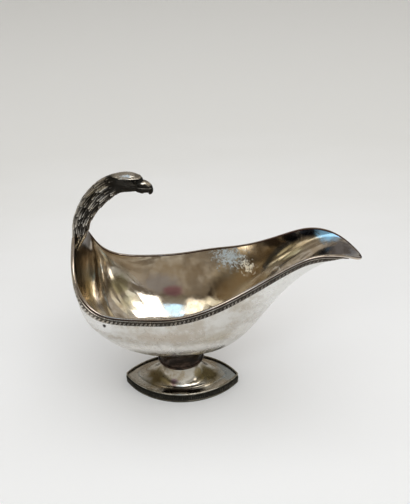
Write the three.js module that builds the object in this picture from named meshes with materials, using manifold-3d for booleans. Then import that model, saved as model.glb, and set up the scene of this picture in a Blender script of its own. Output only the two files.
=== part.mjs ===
// A footed sauce boat in silver: a boat-shaped bowl raised from sheet, a plain wire on its lip with a
// die-rolled strip below it, a cast eagle's-head handle on the high back, and a hollow navette foot.
// Millimetres, +Z up, the spout towards +X. The left side is +Y. The parts are first placed about the
// foot's upright axis, and the finished group is moved so that its origin lies under its middle.
import * as THREE from "three";
import { mergeVertices } from "three/addons/utils/BufferGeometryUtils.js";
import Module from "manifold-3d";

const wasm = await Module();
wasm.setup();

// Film of solder between two joined pieces.
const SOLDER = 0.3;

// Foot, from the table up.
const FOOT_HALF_LENGTH = 48.5;
const FOOT_HALF_WIDTH = 28;
const FOOT_TIP_RADIUS = 3;
const BASE_WIRE_HEIGHT = 1.5;
const BASE_WIRE_WIDTH = 3.2;
const BORDER_HEIGHT = 5.4;
const BORDER_THICKNESS = 1.6;
const BORDER_BULGE = 0.5;
const THREAD_DIAMETER = 1.5;
const PEDESTAL_SHEET = 1.1;
const PEDESTAL_EDGE_BEVEL = 0.8;
const PEDESTAL_EDGE_DROP = 0.4;
const PEDESTAL_STEP_WIDTH = 2;
const PEDESTAL_STEP_RISE = 0.6;
const PEDESTAL_DOME_HALF_LENGTH = 36;
const PEDESTAL_DOME_HALF_WIDTH = 20;
const PEDESTAL_DOME_RISE = 1.8;
const PEDESTAL_NECK_RADIUS = 15.2;
const PEDESTAL_HEIGHT = 20;
const COLLAR_BEAD_RADIUS = 19.6;
const COLLAR_WAIST_RADIUS = 18.2;
const COLLAR_TOP_RADIUS = 20.6;
const COLLAR_BORE_RADIUS = 13.5;
const COLLAR_HEIGHT = 9.6;
const COLLAR_BEAD_HEIGHT = 2.2;
const COLLAR_SPARE = 12;

// Bowl. Each station is one rib of the hull, from the top of the back tongue to the tip of the spout.
// rim: how far forward of the foot's axis, half the width, and the height above the bowl's lowest point,
// in hundredths of the bowl's length, half width and height; keel: the rib's point on the centre line;
// turn: how many degrees the rib has turned up when it reaches the rim.
const BOWL_LENGTH = 223.5;
const BOWL_HALF_WIDTH = 48;
const BOWL_HEIGHT = 113.1;
const BOWL_SHEET = 1.2;
const BOWL_STATIONS = [
  { name: "tongue top", rim: [-34.5, 10.4, 99.9], keel: [-34.5, 100], turn: 30 },
  { name: "tongue side", rim: [-34.3, 32.3, 95.7], keel: [-35.1, 89.7], turn: 45 },
  { name: "shoulder", rim: [-33.5, 66.2, 82.9], keel: [-35.4, 73.4], turn: 72 },
  { name: "back corner", rim: [-30.6, 84.6, 67.4], keel: [-35.1, 56.6], turn: 86 },
  { name: "back quarter", rim: [-23.4, 95, 56.6], keel: [-32.1, 32.7], turn: 90 },
  { name: "waist", rim: [-10.7, 98.3, 54.5], keel: [-21.3, 9.4], turn: 90 },
  { name: "beam", rim: [0.9, 100, 55.9], keel: [-5.4, 0], turn: 90 },
  { name: "fore quarter", rim: [12.5, 93.3, 61.4], keel: [9.8, 1.6], turn: 90 },
  { name: "throat", rim: [24.2, 73.8, 69.3], keel: [22.4, 13.3], turn: 90 },
  { name: "spout root", rim: [35.8, 57.5, 80.1], keel: [32.7, 39.8], turn: 88 },
  { name: "spout", rim: [46.1, 48.3, 88.9], keel: [41.2, 61.5], turn: 84 },
  { name: "crest", rim: [54.6, 38.8, 88.8], keel: [49.2, 75.6], turn: 78 },
  { name: "lip", rim: [60.9, 22.1, 83.3], keel: [57.3, 83.5], turn: 62 },
  { name: "tip", rim: [64.6, 0, 78.2], keel: [64.6, 78.2], turn: 40 },
];

// Wire soldered on the edge of the lip, and the strip below it.
const LIP_WIRE_OVERHANG = 0.7;
const LIP_WIRE_INSIDE = 0.3;
const LIP_WIRE_HEIGHT = 1.5;
const FRIEZE_DROP = 0.5;
const FRIEZE_WIDTH = 5.4;
const FRIEZE_THICKNESS = 1.1;

// Handle, as stations up the middle of the neck from the lowest inner feather to the forehead. along and
// above: how far forward and how high of the bowl's tongue top, in hundredths of the handle's reach and
// rise; depth and side: the neck's thickness seen from the side and from the front, in hundredths of the
// whole neck's.
const HANDLE_REACH = 60;
const HANDLE_RISE = 42;
const NECK_DEPTH = 16.8;
const NECK_WIDTH = 14.8;
const NECK_STATIONS = [
  { along: -1, above: -39.3, depth: 19, side: 29.7 },
  { along: 2.3, above: -19, depth: 52.4, side: 73 },
  { along: 7, above: 1.4, depth: 76.2, side: 91.9 },
  { along: 10.3, above: 19.5, depth: 81, side: 94.6 },
  { along: 17.3, above: 41, depth: 88.1, side: 97.3 },
  { along: 28, above: 62.6, depth: 96.4, side: 100 },
  { along: 42.7, above: 82.9, depth: 100, side: 98.6 },
  { along: 58.3, above: 96.2, depth: 96.4, side: 93.2 },
  { along: 73.5, above: 99.8, depth: 98.8, side: 87.8 },
  { along: 84.2, above: 98.3, depth: 91.7, side: 82.4 },
  { along: 91.8, above: 95, depth: 76.2, side: 67.6 },
  { along: 95.8, above: 93.1, depth: 42.9, side: 40.5 },
];
const BEAK_STATIONS = [
  { along: 85.2, above: 92.6, depth: 61.9, side: 62.2 },
  { along: 91.8, above: 90.7, depth: 65.5, side: 58.1 },
  { along: 97.2, above: 87.9, depth: 59.5, side: 48.6 },
  { along: 100.3, above: 83.8, depth: 44, side: 36.5 },
  { along: 101.5, above: 79.5, depth: 26.2, side: 23 },
  { along: 100.8, above: 75.5, depth: 9.5, side: 10.8 },
];
const CASTING_WALL = 2.4;
const FEATHER_ROWS = 9;
const FEATHERS_ROUND = 10;
const FEATHER_RELIEF = 0.9;
const FEATHER_TIP_SHARE = 0.55;
const FEATHERED_SHARE = 0.74;
const EYE_RADIUS = 1.7;
const EYE_SINK = 0.9;
const EYE_PLACE = { along: 81.2, above: 101.2 };
const BROW_LENGTH = 12.5;
const BROW_HEIGHT = 2.6;
const BROW_SINK = 1.6;
const BROW_SLOPE = 3.4;
const BROW_PLACE = { along: 82.8, above: 108.8 };
const MOUTH_HEIGHT = 0.6;
const MOUTH_DEPTH = 1.0;
const MOUTH_PLACE = { along: 89.5, above: 83.6 };
const MOUTH_LENGTH = 12;

const SILVER = { color: 0xc9c5bd, roughness: 0.22, metalness: 1 };
const OXIDISED = { color: 0x7d776e, roughness: 0.38, metalness: 1 };

// Heights that follow from the stack of pieces.
const borderFoot = BASE_WIRE_HEIGHT + SOLDER;
const plateTop = borderFoot + BORDER_HEIGHT;
const neckTop = plateTop + PEDESTAL_HEIGHT;
const collarFoot = neckTop + SOLDER;
const bowlFoot = collarFoot + COLLAR_HEIGHT;

// Meshing steps, for smoothness only.
const HULL_ROWS = 40;
const RIB_STEPS = 18;
const RING_STEPS = 36;
const SLIVER = 0.01;

// A smooth value through equally spaced stations; before and after stand beyond the two ends.
function through(values, t, before, after) {
  const last = values.length - 1;
  const i = Math.min(Math.max(Math.floor(t), 0), last - 1);
  const f = t - i;
  const [p1, p2] = [values[i], values[i + 1]];
  const p0 = i > 0 ? values[i - 1] : before ?? 2 * p1 - p2;
  const p3 = i < last - 1 ? values[i + 2] : after ?? 2 * p2 - p1;
  const m1 = (p2 - p0) / 2;
  const m2 = (p3 - p1) / 2;
  return p1 + f * (m1 + f * (3 * (p2 - p1) - 2 * m1 - m2 + f * (2 * (p1 - p2) + m1 + m2)));
}

// A closed body from a list of rings of points; the two ends are capped unless it closes on itself.
function bodyOfRings(rings, closed = false) {
  const n = rings[0].length;
  const positions = rings.flat().flatMap((p) => [p.x, p.y, p.z]);
  const faces = [];
  const spans = closed ? rings.length : rings.length - 1;
  for (let i = 0; i < spans; i++) {
    for (let j = 0; j < n; j++) {
      const a = i * n + j;
      const b = i * n + ((j + 1) % n);
      const c = ((i + 1) % rings.length) * n + ((j + 1) % n);
      const d = ((i + 1) % rings.length) * n + j;
      faces.push(a, b, c, a, c, d);
    }
  }
  if (!closed) {
    const end = (rings.length - 1) * n;
    for (let j = 1; j < n - 1; j++) {
      faces.push(0, j + 1, j);
      faces.push(end, end + j, end + j + 1);
    }
  }
  return facingOut(positions, faces);
}

// A closed body between two grids of points that match row by row.
function slab(outer, inner) {
  return bodyOfRings(outer.map((row, i) => [...row, ...[...inner[i]].reverse()]));
}

function facingOut(positions, faces) {
  const geometry = new THREE.BufferGeometry();
  geometry.setAttribute("position", new THREE.Float32BufferAttribute(positions, 3));
  const point = (k) => new THREE.Vector3().fromArray(positions, 3 * k);
  let volume = 0;
  for (let k = 0; k < faces.length; k += 3) {
    volume += point(faces[k]).dot(point(faces[k + 1]).cross(point(faces[k + 2])));
  }
  geometry.setIndex(volume < 0 ? faces.reverse() : faces);
  return geometry;
}

// To and from the solids that can be joined and cut.
function solidOf(geometry) {
  const bare = geometry.index ? geometry.toNonIndexed() : geometry.clone();
  for (const name of ["normal", "uv"]) bare.deleteAttribute(name);
  const merged = mergeVertices(bare, 1e-4);
  return new wasm.Manifold(
    new wasm.Mesh({
      numProp: 3,
      vertProperties: merged.attributes.position.array,
      triVerts: new Uint32Array(merged.index.array),
    }),
  );
}

function geometryOf(solid) {
  const mesh = solid.getMesh();
  const geometry = new THREE.BufferGeometry();
  const places = Array.from(mesh.vertProperties);
  geometry.setAttribute("position", new THREE.Float32BufferAttribute(places, 3));
  geometry.setIndex(Array.from(mesh.triVerts));
  geometry.computeVertexNormals();
  return geometry;
}

// Bowl

const lastStation = BOWL_STATIONS.length - 1;
const rimX = BOWL_STATIONS.map((s) => (s.rim[0] * BOWL_LENGTH) / 100);
const rimHalf = BOWL_STATIONS.map((s) => (s.rim[1] * BOWL_HALF_WIDTH) / 100);
const rimZ = BOWL_STATIONS.map((s) => (s.rim[2] * BOWL_HEIGHT) / 100 + bowlFoot);
const keelX = BOWL_STATIONS.map((s) => (s.keel[0] * BOWL_LENGTH) / 100);
const keelZ = BOWL_STATIONS.map((s) => (s.keel[1] * BOWL_HEIGHT) / 100 + bowlFoot);
const turns = BOWL_STATIONS.map((s) => THREE.MathUtils.degToRad(s.turn));

// Point of the hull's outer face on the rib at station t; v runs from -1, the right rim, to 1, the left.
function hullPoint(t, v) {
  const turn = through(turns, t);
  const phi = v * turn;
  const rise = (1 - Math.cos(phi)) / (1 - Math.cos(turn));
  const half = Math.max(through(rimHalf, t, undefined, -rimHalf[lastStation - 1]), 0);
  const rx = through(rimX, t, undefined, rimX[lastStation - 1]);
  const rz = through(rimZ, t, undefined, rimZ[lastStation - 1]);
  const kx = through(keelX, t);
  const kz = through(keelZ, t);
  const y = (half * Math.sin(phi)) / Math.sin(turn);
  return new THREE.Vector3(kx + (rx - kx) * rise, y, kz + (rz - kz) * rise);
}

// Outward normal of the hull there.
function hullNormal(t, v) {
  const dt = 0.02;
  const dv = 0.01;
  const t0 = Math.max(t - dt, 0);
  const t1 = Math.min(t + dt, lastStation - dt);
  const v0 = Math.max(v - dv, -1);
  const v1 = Math.min(v + dv, 1);
  const along = hullPoint(t1, v).sub(hullPoint(t0, v));
  const across = hullPoint(t, v1).sub(hullPoint(t, v0));
  return across.cross(along).normalize();
}

// The hull ends just short of the tip, where the two rims would meet in one point.
const hullEnd = lastStation - 0.12;

const rowStations = Array.from({ length: HULL_ROWS + 1 }, (_, i) => (hullEnd * i) / HULL_ROWS);

function hullGrid(offset, rows = rowStations) {
  const grid = [];
  for (const t of rows) {
    const row = [];
    for (let j = 0; j <= RIB_STEPS; j++) {
      const v = -1 + (2 * j) / RIB_STEPS;
      row.push(hullPoint(t, v).addScaledVector(hullNormal(t, v), offset));
    }
    grid.push(row);
  }
  return grid;
}

function makeBowl() {
  return slab(hullGrid(0), hullGrid(-BOWL_SHEET));
}

// Frame on the rim at station t: out of the wall, and up along the wall past its edge.
function rimFrame(t, side) {
  const reach = Math.min(t, hullEnd);
  const out = hullNormal(reach, side);
  const up = hullPoint(reach, side).sub(hullPoint(reach, side * 0.99)).normalize();
  if (t > hullEnd) {
    out.setY(0).normalize();
    up.setY(0).normalize();
  }
  return { at: hullPoint(t, side), out, up };
}

// The lip wire runs from the handle along the right rim, round the tip and back along the left rim.
function lipWireSection({ at, out, up }) {
  const inner = -BOWL_SHEET - LIP_WIRE_INSIDE;
  const outer = LIP_WIRE_OVERHANG;
  const middle = (inner + outer) / 2;
  const half = (outer - inner) / 2;
  const section = [];
  for (let k = 0; k <= 6; k++) {
    const a = (Math.PI * k) / 6;
    const flat = Math.sign(Math.cos(a)) * Math.abs(Math.cos(a)) ** 0.7;
    section.push([middle + half * flat, SOLDER + LIP_WIRE_HEIGHT * Math.sin(a) ** 0.8]);
  }
  return section.map(([o, h]) => at.clone().addScaledVector(out, o).addScaledVector(up, h));
}

const LIP_START_ROW = 1;

function makeLipWire() {
  const places = rowStations.slice(LIP_START_ROW);
  const right = places.map((t) => lipWireSection(rimFrame(t, -1)));
  const tip = lipWireSection(rimFrame(lastStation, -1));
  const left = places.map((t) => lipWireSection(rimFrame(t, 1))).reverse();
  return bodyOfRings([...right, tip, ...left]);
}

// Point on the wall's outer face, a given way down from the rim, and a given way off the wall.
function belowRim(t, side, down, off) {
  let v = side;
  const step = 0.01;
  let left = down;
  while (left > 0 && Math.abs(v) > 2 * step) {
    const length = hullPoint(t, v).distanceTo(hullPoint(t, v - side * step));
    v -= side * step * Math.min(1, left / length);
    left -= length;
  }
  return hullPoint(t, v).addScaledVector(hullNormal(t, v), off);
}

// The rolled strip's moulded section: a fillet next to the wire, a hollow, a raised field and a thin lower
// edge.
function friezeRow(t, side) {
  const inner = [
    belowRim(t, side, FRIEZE_DROP + FRIEZE_WIDTH, SOLDER),
    belowRim(t, side, FRIEZE_DROP, SOLDER),
  ];
  const profile = [
    [0, 1],
    [0.15, 1],
    [0.22, 0.55],
    [0.34, 0.55],
    [0.46, 1],
    [0.82, 1],
    [0.92, 0.7],
    [1, 0.7],
  ];
  const outer = profile.map(([share, height]) =>
    belowRim(t, side, FRIEZE_DROP + FRIEZE_WIDTH * share, SOLDER + FRIEZE_THICKNESS * height),
  );
  return [...outer, ...inner];
}

const FRIEZE_START_ROW = 1;
const FRIEZE_END_ROW = 37;

function makeFrieze(side) {
  const places = rowStations.slice(FRIEZE_START_ROW, FRIEZE_END_ROW + 1);
  return bodyOfRings(places.map((t) => friezeRow(t, side)));
}

// Handle

const tongueTop = hullPoint(0, 0);

// A station in millimetres: its place beyond the tongue's top, and half of each thickness.
function handleStation({ along, above, depth, side }) {
  return {
    along: (along * HANDLE_REACH) / 100,
    above: (above * HANDLE_RISE) / 100,
    depth: (depth * NECK_DEPTH) / 200,
    side: (side * NECK_WIDTH) / 200,
  };
}

const neckStations = NECK_STATIONS.map(handleStation);
const beakStations = BEAK_STATIONS.map(handleStation);
const cheek = neckStations[9].side;
const jaw = beakStations[1].side;

// Moves a geometry to its place on the head, a given way out from the middle.
function onHead(geometry, place, out) {
  const { along, above } = handleStation({ ...place, depth: 0, side: 0 });
  return geometry.translate(tongueTop.x + along, out, tongueTop.z + above);
}

// Oval sections square to a path in the plane y = 0, with an optional relief on them.
function ovalSweep(stations, rows, columns, grow = 0, relief = () => 0) {
  const last = stations.length - 1;
  const place = (key, t) => through(stations.map((s) => s[key]), t);
  const rings = [];
  for (let i = 0; i <= rows; i++) {
    const t = (last * i) / rows;
    const x = tongueTop.x + place("along", t);
    const z = tongueTop.z + place("above", t);
    const dx = place("along", Math.min(t + 0.01, last)) - place("along", Math.max(t - 0.01, 0));
    const dz = place("above", Math.min(t + 0.01, last)) - place("above", Math.max(t - 0.01, 0));
    const square = new THREE.Vector3(-dz, 0, dx).normalize();
    const ring = [];
    for (let j = 0; j < columns; j++) {
      const a = (2 * Math.PI * (j + 0.5)) / columns;
      const lift = grow + relief(t / last, a / (2 * Math.PI));
      const depth = (place("depth", t) + lift) * Math.cos(a);
      const wide = (place("side", t) + lift) * Math.sin(a);
      ring.push(new THREE.Vector3(x, wide, z).addScaledVector(square, depth));
    }
    rings.push(ring);
  }
  return bodyOfRings(rings);
}

// Rows of feathers that overlap down the neck: each feather lifts towards its rounded tip, and the tips
// of one row lie over the roots of the row below, half a feather round.
function featherRelief(share, turn) {
  const fromHead = 1 - share / FEATHERED_SHARE;
  if (fromHead < 0) return 0;
  const s = fromHead * FEATHER_ROWS;
  const row = Math.floor(s);
  const f = s - row;
  const across = (r) => {
    const a = turn * FEATHERS_ROUND + 0.5 * (r % 2);
    return 2 * Math.abs(a - Math.floor(a) - 0.5);
  };
  const tip = FEATHER_TIP_SHARE * (1 - across(row + 1) ** 2);
  const fade = Math.min(1, fromHead * 4, (1 - fromHead) * 6 + 0.2);
  const lift = f < tip ? 0.75 + 0.25 * (f / tip) : 0.25 + 0.5 * f;
  return FEATHER_RELIEF * fade * (lift - 0.5);
}

const TONGUE_ROWS = 10;
const NECK_ROWS = 30;
const NECK_COLUMNS = 24;

function headDetail(grow) {
  const beak = solidOf(ovalSweep(beakStations, 10, 16, grow));
  const details = [];
  for (const side of [-1, 1]) {
    const eye = new THREE.SphereGeometry(EYE_RADIUS + grow, 12, 8);
    const brow = new THREE.SphereGeometry(1, 16, 10);
    brow.scale(BROW_LENGTH / 2 + grow, BROW_HEIGHT / 2 + grow, BROW_HEIGHT / 2 + grow);
    brow.rotateY(THREE.MathUtils.degToRad(BROW_SLOPE));
    details.push(solidOf(onHead(eye, EYE_PLACE, side * (cheek - EYE_SINK))));
    details.push(solidOf(onHead(brow, BROW_PLACE, side * (cheek - BROW_SINK))));
  }
  return details.reduce((sum, piece) => sum.add(piece), beak);
}

// The whole casting, grown by a clearance where it is used to cut another piece.
function neckAndHead(grow = 0) {
  const relief = grow > 0 ? () => FEATHER_RELIEF / 2 : featherRelief;
  const neck = solidOf(ovalSweep(neckStations, NECK_ROWS, NECK_COLUMNS, grow, relief));
  return neck.add(headDetail(grow));
}

// The raised tongue of the bowl with solder round it, which the casting's slot takes.
function tongueSlot() {
  const rows = rowStations.slice(0, TONGUE_ROWS);
  const pastRims = (row, i) => {
    const right = row[0].clone().addScaledVector(rimFrame(rows[i], -1).up, SOLDER);
    const left = row[row.length - 1].clone().addScaledVector(rimFrame(rows[i], 1).up, SOLDER);
    return [right, ...row, left];
  };
  const outer = hullGrid(SOLDER, rows).map(pastRims);
  const inner = hullGrid(-BOWL_SHEET - SOLDER, rows).map(pastRims);
  const lift = new THREE.Vector3(0, 0, SOLDER);
  outer.unshift(outer[0].map((p) => p.clone().add(lift)));
  inner.unshift(inner[0].map((p) => p.clone().add(lift)));
  return solidOf(slab(outer, inner));
}

function makeHandleHalves() {
  const hollowStations = neckStations.slice(3, 9).map((s) => ({
    ...s,
    depth: s.depth - CASTING_WALL,
    side: s.side - CASTING_WALL,
  }));
  const hollow = solidOf(ovalSweep(hollowStations, 8, 10));
  let casting = neckAndHead().subtract(hollow).subtract(tongueSlot());
  for (const side of [-1, 1]) {
    const mouth = new THREE.BoxGeometry(MOUTH_LENGTH, 2 * MOUTH_DEPTH, MOUTH_HEIGHT);
    casting = casting.subtract(solidOf(onHead(mouth, MOUTH_PLACE, side * jaw)));
  }
  const half = (side) => {
    const box = new THREE.BoxGeometry(4 * HANDLE_REACH, 4 * NECK_WIDTH, 4 * HANDLE_RISE);
    box.translate(tongueTop.x, side * (2 * NECK_WIDTH + SOLDER / 2), tongueTop.z);
    return geometryOf(casting.intersect(solidOf(box)).simplify(SLIVER));
  };
  return { left: half(1), right: half(-1) };
}

// Foot

// Navette outline: two arcs that meet in rounded tips. It is a circle when its two halves are equal.
function navette(halfLength, halfWidth, tipRadius, z) {
  const length = halfLength - tipRadius;
  const width = halfWidth - tipRadius;
  const arc = (length * length + width * width) / (2 * width);
  const reach = Math.asin(Math.min(1, length / arc));
  const points = [];
  for (let k = 0; k < RING_STEPS; k++) {
    const a = (2 * Math.PI * k) / RING_STEPS;
    const normal = [Math.sin(a), Math.cos(a)];
    const lean = Math.acos(Math.min(1, Math.abs(normal[1])));
    const onArc = lean <= reach + 1e-9;
    const upper = normal[1] >= 0 ? 1 : -1;
    const x = onArc ? normal[0] * (arc + tipRadius) : Math.sign(normal[0]) * length + normal[0] * tipRadius;
    const y = onArc ? normal[1] * (arc + tipRadius) - upper * (arc - width) : normal[1] * tipRadius;
    points.push(new THREE.Vector3(x, y, z));
  }
  return points;
}

// Outline that lies a given way inside the foot's edge.
function footOutline(inset, z) {
  const tip = Math.max(FOOT_TIP_RADIUS - inset, 0.4);
  return navette(FOOT_HALF_LENGTH - inset, FOOT_HALF_WIDTH - inset, tip, z);
}

function makeBaseWire() {
  const near = 0;
  const far = BASE_WIRE_WIDTH;
  const profile = [
    [near, 0],
    [near, BASE_WIRE_HEIGHT],
    [far, BASE_WIRE_HEIGHT],
    [far, 0],
  ];
  return bodyOfRings(profile.map(([inset, z]) => footOutline(inset, z)), true);
}

// Half of the foot's moulded border, from one tip to the other, mitred there.
function makeFootBorder(side) {
  const section = [
    [0.2, 0],
    [0.2 - BORDER_BULGE, 0.25],
    [0.2 - BORDER_BULGE, 0.7],
    [0.4, 1],
    [BORDER_THICKNESS, 1],
    [BORDER_THICKNESS, 0],
  ];
  const rings = section.map(([inset, share]) => footOutline(inset, borderFoot + BORDER_HEIGHT * share));
  const whole = solidOf(bodyOfRings(rings, true));
  const box = new THREE.BoxGeometry(4 * FOOT_HALF_LENGTH, 4 * FOOT_HALF_WIDTH, 8 * BORDER_HEIGHT);
  box.translate(0, side * (2 * FOOT_HALF_WIDTH + SOLDER / 2), 0);
  return geometryOf(whole.intersect(solidOf(box)));
}

function makeThread() {
  const inset = BORDER_THICKNESS / 2;
  const z = plateTop + SOLDER + THREAD_DIAMETER / 2;
  const profile = [];
  for (let k = 0; k < 6; k++) {
    const a = (2 * Math.PI * (k + 0.5)) / 6;
    profile.push([inset - (THREAD_DIAMETER / 2) * Math.cos(a), z + (THREAD_DIAMETER / 2) * Math.sin(a)]);
  }
  return bodyOfRings(profile.map(([i, height]) => footOutline(i, height)), true);
}

// The pedestal is raised from one sheet: a flat navette plate, a low step up to an oval dome, and a cove
// that rises to the round neck.
function pedestalRing(length, width, tip, z, inset) {
  return navette(length - inset, width - inset, Math.max(tip - inset, 0.4), z);
}

function makePedestal() {
  const edge = BORDER_THICKNESS + SOLDER;
  const plateLength = FOOT_HALF_LENGTH - edge;
  const plateWidth = FOOT_HALF_WIDTH - edge;
  const plateTip = FOOT_TIP_RADIUS / 2;
  const domeTip = 2 * FOOT_TIP_RADIUS;
  const domeFoot = plateTop + PEDESTAL_STEP_RISE;
  const stepLength = PEDESTAL_DOME_HALF_LENGTH + PEDESTAL_STEP_WIDTH;
  const stepWidth = PEDESTAL_DOME_HALF_WIDTH + PEDESTAL_STEP_WIDTH / 2;
  const top = [];
  top.push([plateLength, plateWidth, plateTip, borderFoot]);
  top.push([plateLength, plateWidth, plateTip, plateTop - PEDESTAL_EDGE_DROP]);
  top.push([plateLength - PEDESTAL_EDGE_BEVEL, plateWidth - PEDESTAL_EDGE_BEVEL, plateTip, plateTop]);
  top.push([stepLength, stepWidth, domeTip - PEDESTAL_STEP_WIDTH, domeFoot]);
  const steps = 6;
  for (let i = 0; i <= steps; i++) {
    const f = i / steps;
    const sweep = 1 - Math.sin((f * Math.PI) / 2);
    const rise = 1 - Math.cos((f * Math.PI) / 2);
    const length = PEDESTAL_NECK_RADIUS + (PEDESTAL_DOME_HALF_LENGTH - PEDESTAL_NECK_RADIUS) * sweep;
    const width = PEDESTAL_NECK_RADIUS + (PEDESTAL_DOME_HALF_WIDTH - PEDESTAL_NECK_RADIUS) * sweep;
    const foot = domeFoot + PEDESTAL_DOME_RISE;
    const tip = domeTip + (PEDESTAL_NECK_RADIUS / 2 - domeTip) * f;
    top.push([length, width, tip, foot + (neckTop - foot) * rise]);
  }
  const outer = top.map(([l, w, tip, z]) => pedestalRing(l, w, tip, z, 0));
  // Under the flat rings the sheet's thickness is a drop, beside the steep ones it is a way in, and the
  // slanted rings between have some of both.
  const under = top.map(([l, w, tip, z], i) => {
    const drop = i < 2 || i > steps ? 0 : PEDESTAL_SHEET;
    const side = i > 2 && i < 6 ? PEDESTAL_SHEET * 0.6 : PEDESTAL_SHEET;
    return pedestalRing(l, w, tip, z - drop, side);
  });
  return bodyOfRings([...outer, ...under.reverse()], true);
}

// The collar between foot and bowl: a bead, a shallow cove, and a top cut to the hull it carries. It is
// first turned with some height to spare.
function makeCollar() {
  const top = COLLAR_HEIGHT + COLLAR_SPARE;
  const points = [new THREE.Vector2(COLLAR_BORE_RADIUS, 0)];
  const beadSteps = 5;
  const round = COLLAR_BEAD_HEIGHT / 2;
  for (let k = 0; k <= beadSteps; k++) {
    const a = -Math.PI / 2 + (Math.PI * k) / beadSteps;
    const radius = COLLAR_BEAD_RADIUS - round + round * Math.cos(a);
    points.push(new THREE.Vector2(radius, round + round * Math.sin(a)));
  }
  const coveSteps = 5;
  for (let k = 1; k <= coveSteps; k++) {
    const f = k / coveSteps;
    const radius = COLLAR_WAIST_RADIUS + (COLLAR_TOP_RADIUS - COLLAR_WAIST_RADIUS) * f * f;
    points.push(new THREE.Vector2(radius, COLLAR_BEAD_HEIGHT + (top - COLLAR_BEAD_HEIGHT) * f));
  }
  points.push(new THREE.Vector2(COLLAR_BORE_RADIUS, top));
  points.push(points[0].clone());
  const turned = new THREE.LatheGeometry(points, RING_STEPS);
  turned.rotateX(Math.PI / 2);
  turned.translate(0, 0, collarFoot);
  const hull = hullGrid(SOLDER);
  const lid = hull.map((row) => {
    const [a, b] = [row[0], row[row.length - 1]];
    return row.map((_, j) => a.clone().lerp(b, j / (row.length - 1)).setZ(a.z + 0.5));
  });
  return geometryOf(solidOf(turned).subtract(solidOf(slab(hull, lid))));
}

// Assembly

function material({ color, roughness, metalness }) {
  return new THREE.MeshStandardMaterial({ color, roughness, metalness });
}

const boat = new THREE.Group();
function add(name, geometry, finish) {
  const mesh = new THREE.Mesh(geometry, material(finish));
  mesh.name = name;
  boat.add(mesh);
}

const clearOfHandle = neckAndHead(SOLDER);
const clearOfHull = solidOf(slab(hullGrid(SOLDER), hullGrid(-BOWL_SHEET)));
const trimmed = (geometry) => geometryOf(solidOf(geometry).subtract(clearOfHandle));
const clearOfBoth = clearOfHandle.add(clearOfHull);
const strip = (side) => geometryOf(solidOf(makeFrieze(side)).subtract(clearOfBoth).simplify(SLIVER));
const handle = makeHandleHalves();
add("bowl", makeBowl(), SILVER);
add("lip_wire", trimmed(makeLipWire()), SILVER);
add("rim_frieze_left", strip(1), OXIDISED);
add("rim_frieze_right", strip(-1), OXIDISED);
add("handle_casting_left", handle.left, OXIDISED);
add("handle_casting_right", handle.right, OXIDISED);
add("foot_collar", makeCollar(), SILVER);
add("foot_pedestal", makePedestal(), SILVER);
add("foot_thread_wire", makeThread(), SILVER);
add("foot_border_left", makeFootBorder(1), OXIDISED);
add("foot_border_right", makeFootBorder(-1), OXIDISED);
add("foot_base_wire", makeBaseWire(), SILVER);

const extent = new THREE.Box3().setFromObject(boat);
boat.position.x = -(extent.min.x + extent.max.x) / 2;

export default boat;
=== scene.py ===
# A footed sauce boat in worn silver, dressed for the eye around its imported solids.
# Each piece is worked out in millimetres about the foot's upright axis, +X towards the spout, and is
# then put in place in metres.
import math

import bpy
import numpy as np
from mathutils import Matrix, Vector
from mathutils.bvhtree import BVHTree


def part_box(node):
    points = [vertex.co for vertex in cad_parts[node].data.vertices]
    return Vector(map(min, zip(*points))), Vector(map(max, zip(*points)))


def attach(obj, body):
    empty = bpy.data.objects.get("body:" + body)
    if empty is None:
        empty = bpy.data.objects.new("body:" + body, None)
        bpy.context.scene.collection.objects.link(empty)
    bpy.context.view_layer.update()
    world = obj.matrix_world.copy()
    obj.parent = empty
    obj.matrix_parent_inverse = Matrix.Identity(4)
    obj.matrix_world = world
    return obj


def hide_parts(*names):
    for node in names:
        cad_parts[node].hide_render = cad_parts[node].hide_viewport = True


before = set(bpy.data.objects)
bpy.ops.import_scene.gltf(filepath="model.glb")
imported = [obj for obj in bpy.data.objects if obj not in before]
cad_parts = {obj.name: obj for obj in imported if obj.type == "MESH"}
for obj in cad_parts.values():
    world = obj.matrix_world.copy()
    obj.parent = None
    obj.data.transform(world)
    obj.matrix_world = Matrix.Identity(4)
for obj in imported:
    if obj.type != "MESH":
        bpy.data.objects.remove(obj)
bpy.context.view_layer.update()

# Camera
# Held in the hand at the boat's right side, a little towards the spout and well above the lip, and tilted
# by 2 degrees. Its place is in millimetres about the foot's axis.
foot_low, foot_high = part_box("foot_base_wire")
FOOT_AXIS_X = 1000 * (foot_low.x + foot_high.x) / 2
CAMERA_PLACE = (56.46, -537.18, 453.25)
CAMERA_PITCH = math.radians(30.938)
CAMERA_YAW = math.radians(-3.501)
CAMERA_ROLL = math.radians(-2)
CAMERA_LENS = 57.14


def in_place(points):
    """Millimetres about the foot's axis to metres in the boat's own frame."""
    return (np.asarray(points, float) + (FOOT_AXIS_X, 0, 0)) * 0.001


camera = bpy.data.objects.new("view", bpy.data.cameras.new("view"))
bpy.context.scene.collection.objects.link(camera)
camera.data.lens = CAMERA_LENS
camera.data.sensor_width = 36
ahead = Vector((math.sin(CAMERA_YAW), math.cos(CAMERA_YAW), 0)) * math.cos(CAMERA_PITCH)
ahead.z = -math.sin(CAMERA_PITCH)
level = Vector((math.cos(CAMERA_YAW), -math.sin(CAMERA_YAW), 0))
upright = level.cross(ahead)
right = level * math.cos(CAMERA_ROLL) + upright * math.sin(CAMERA_ROLL)
up = upright * math.cos(CAMERA_ROLL) - level * math.sin(CAMERA_ROLL)
camera.matrix_world = Matrix((right, up, -ahead)).transposed().to_4x4()
camera.location = in_place(CAMERA_PLACE)
bpy.context.scene.camera = camera
bpy.context.scene.view_settings.view_transform = "Standard"

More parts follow.
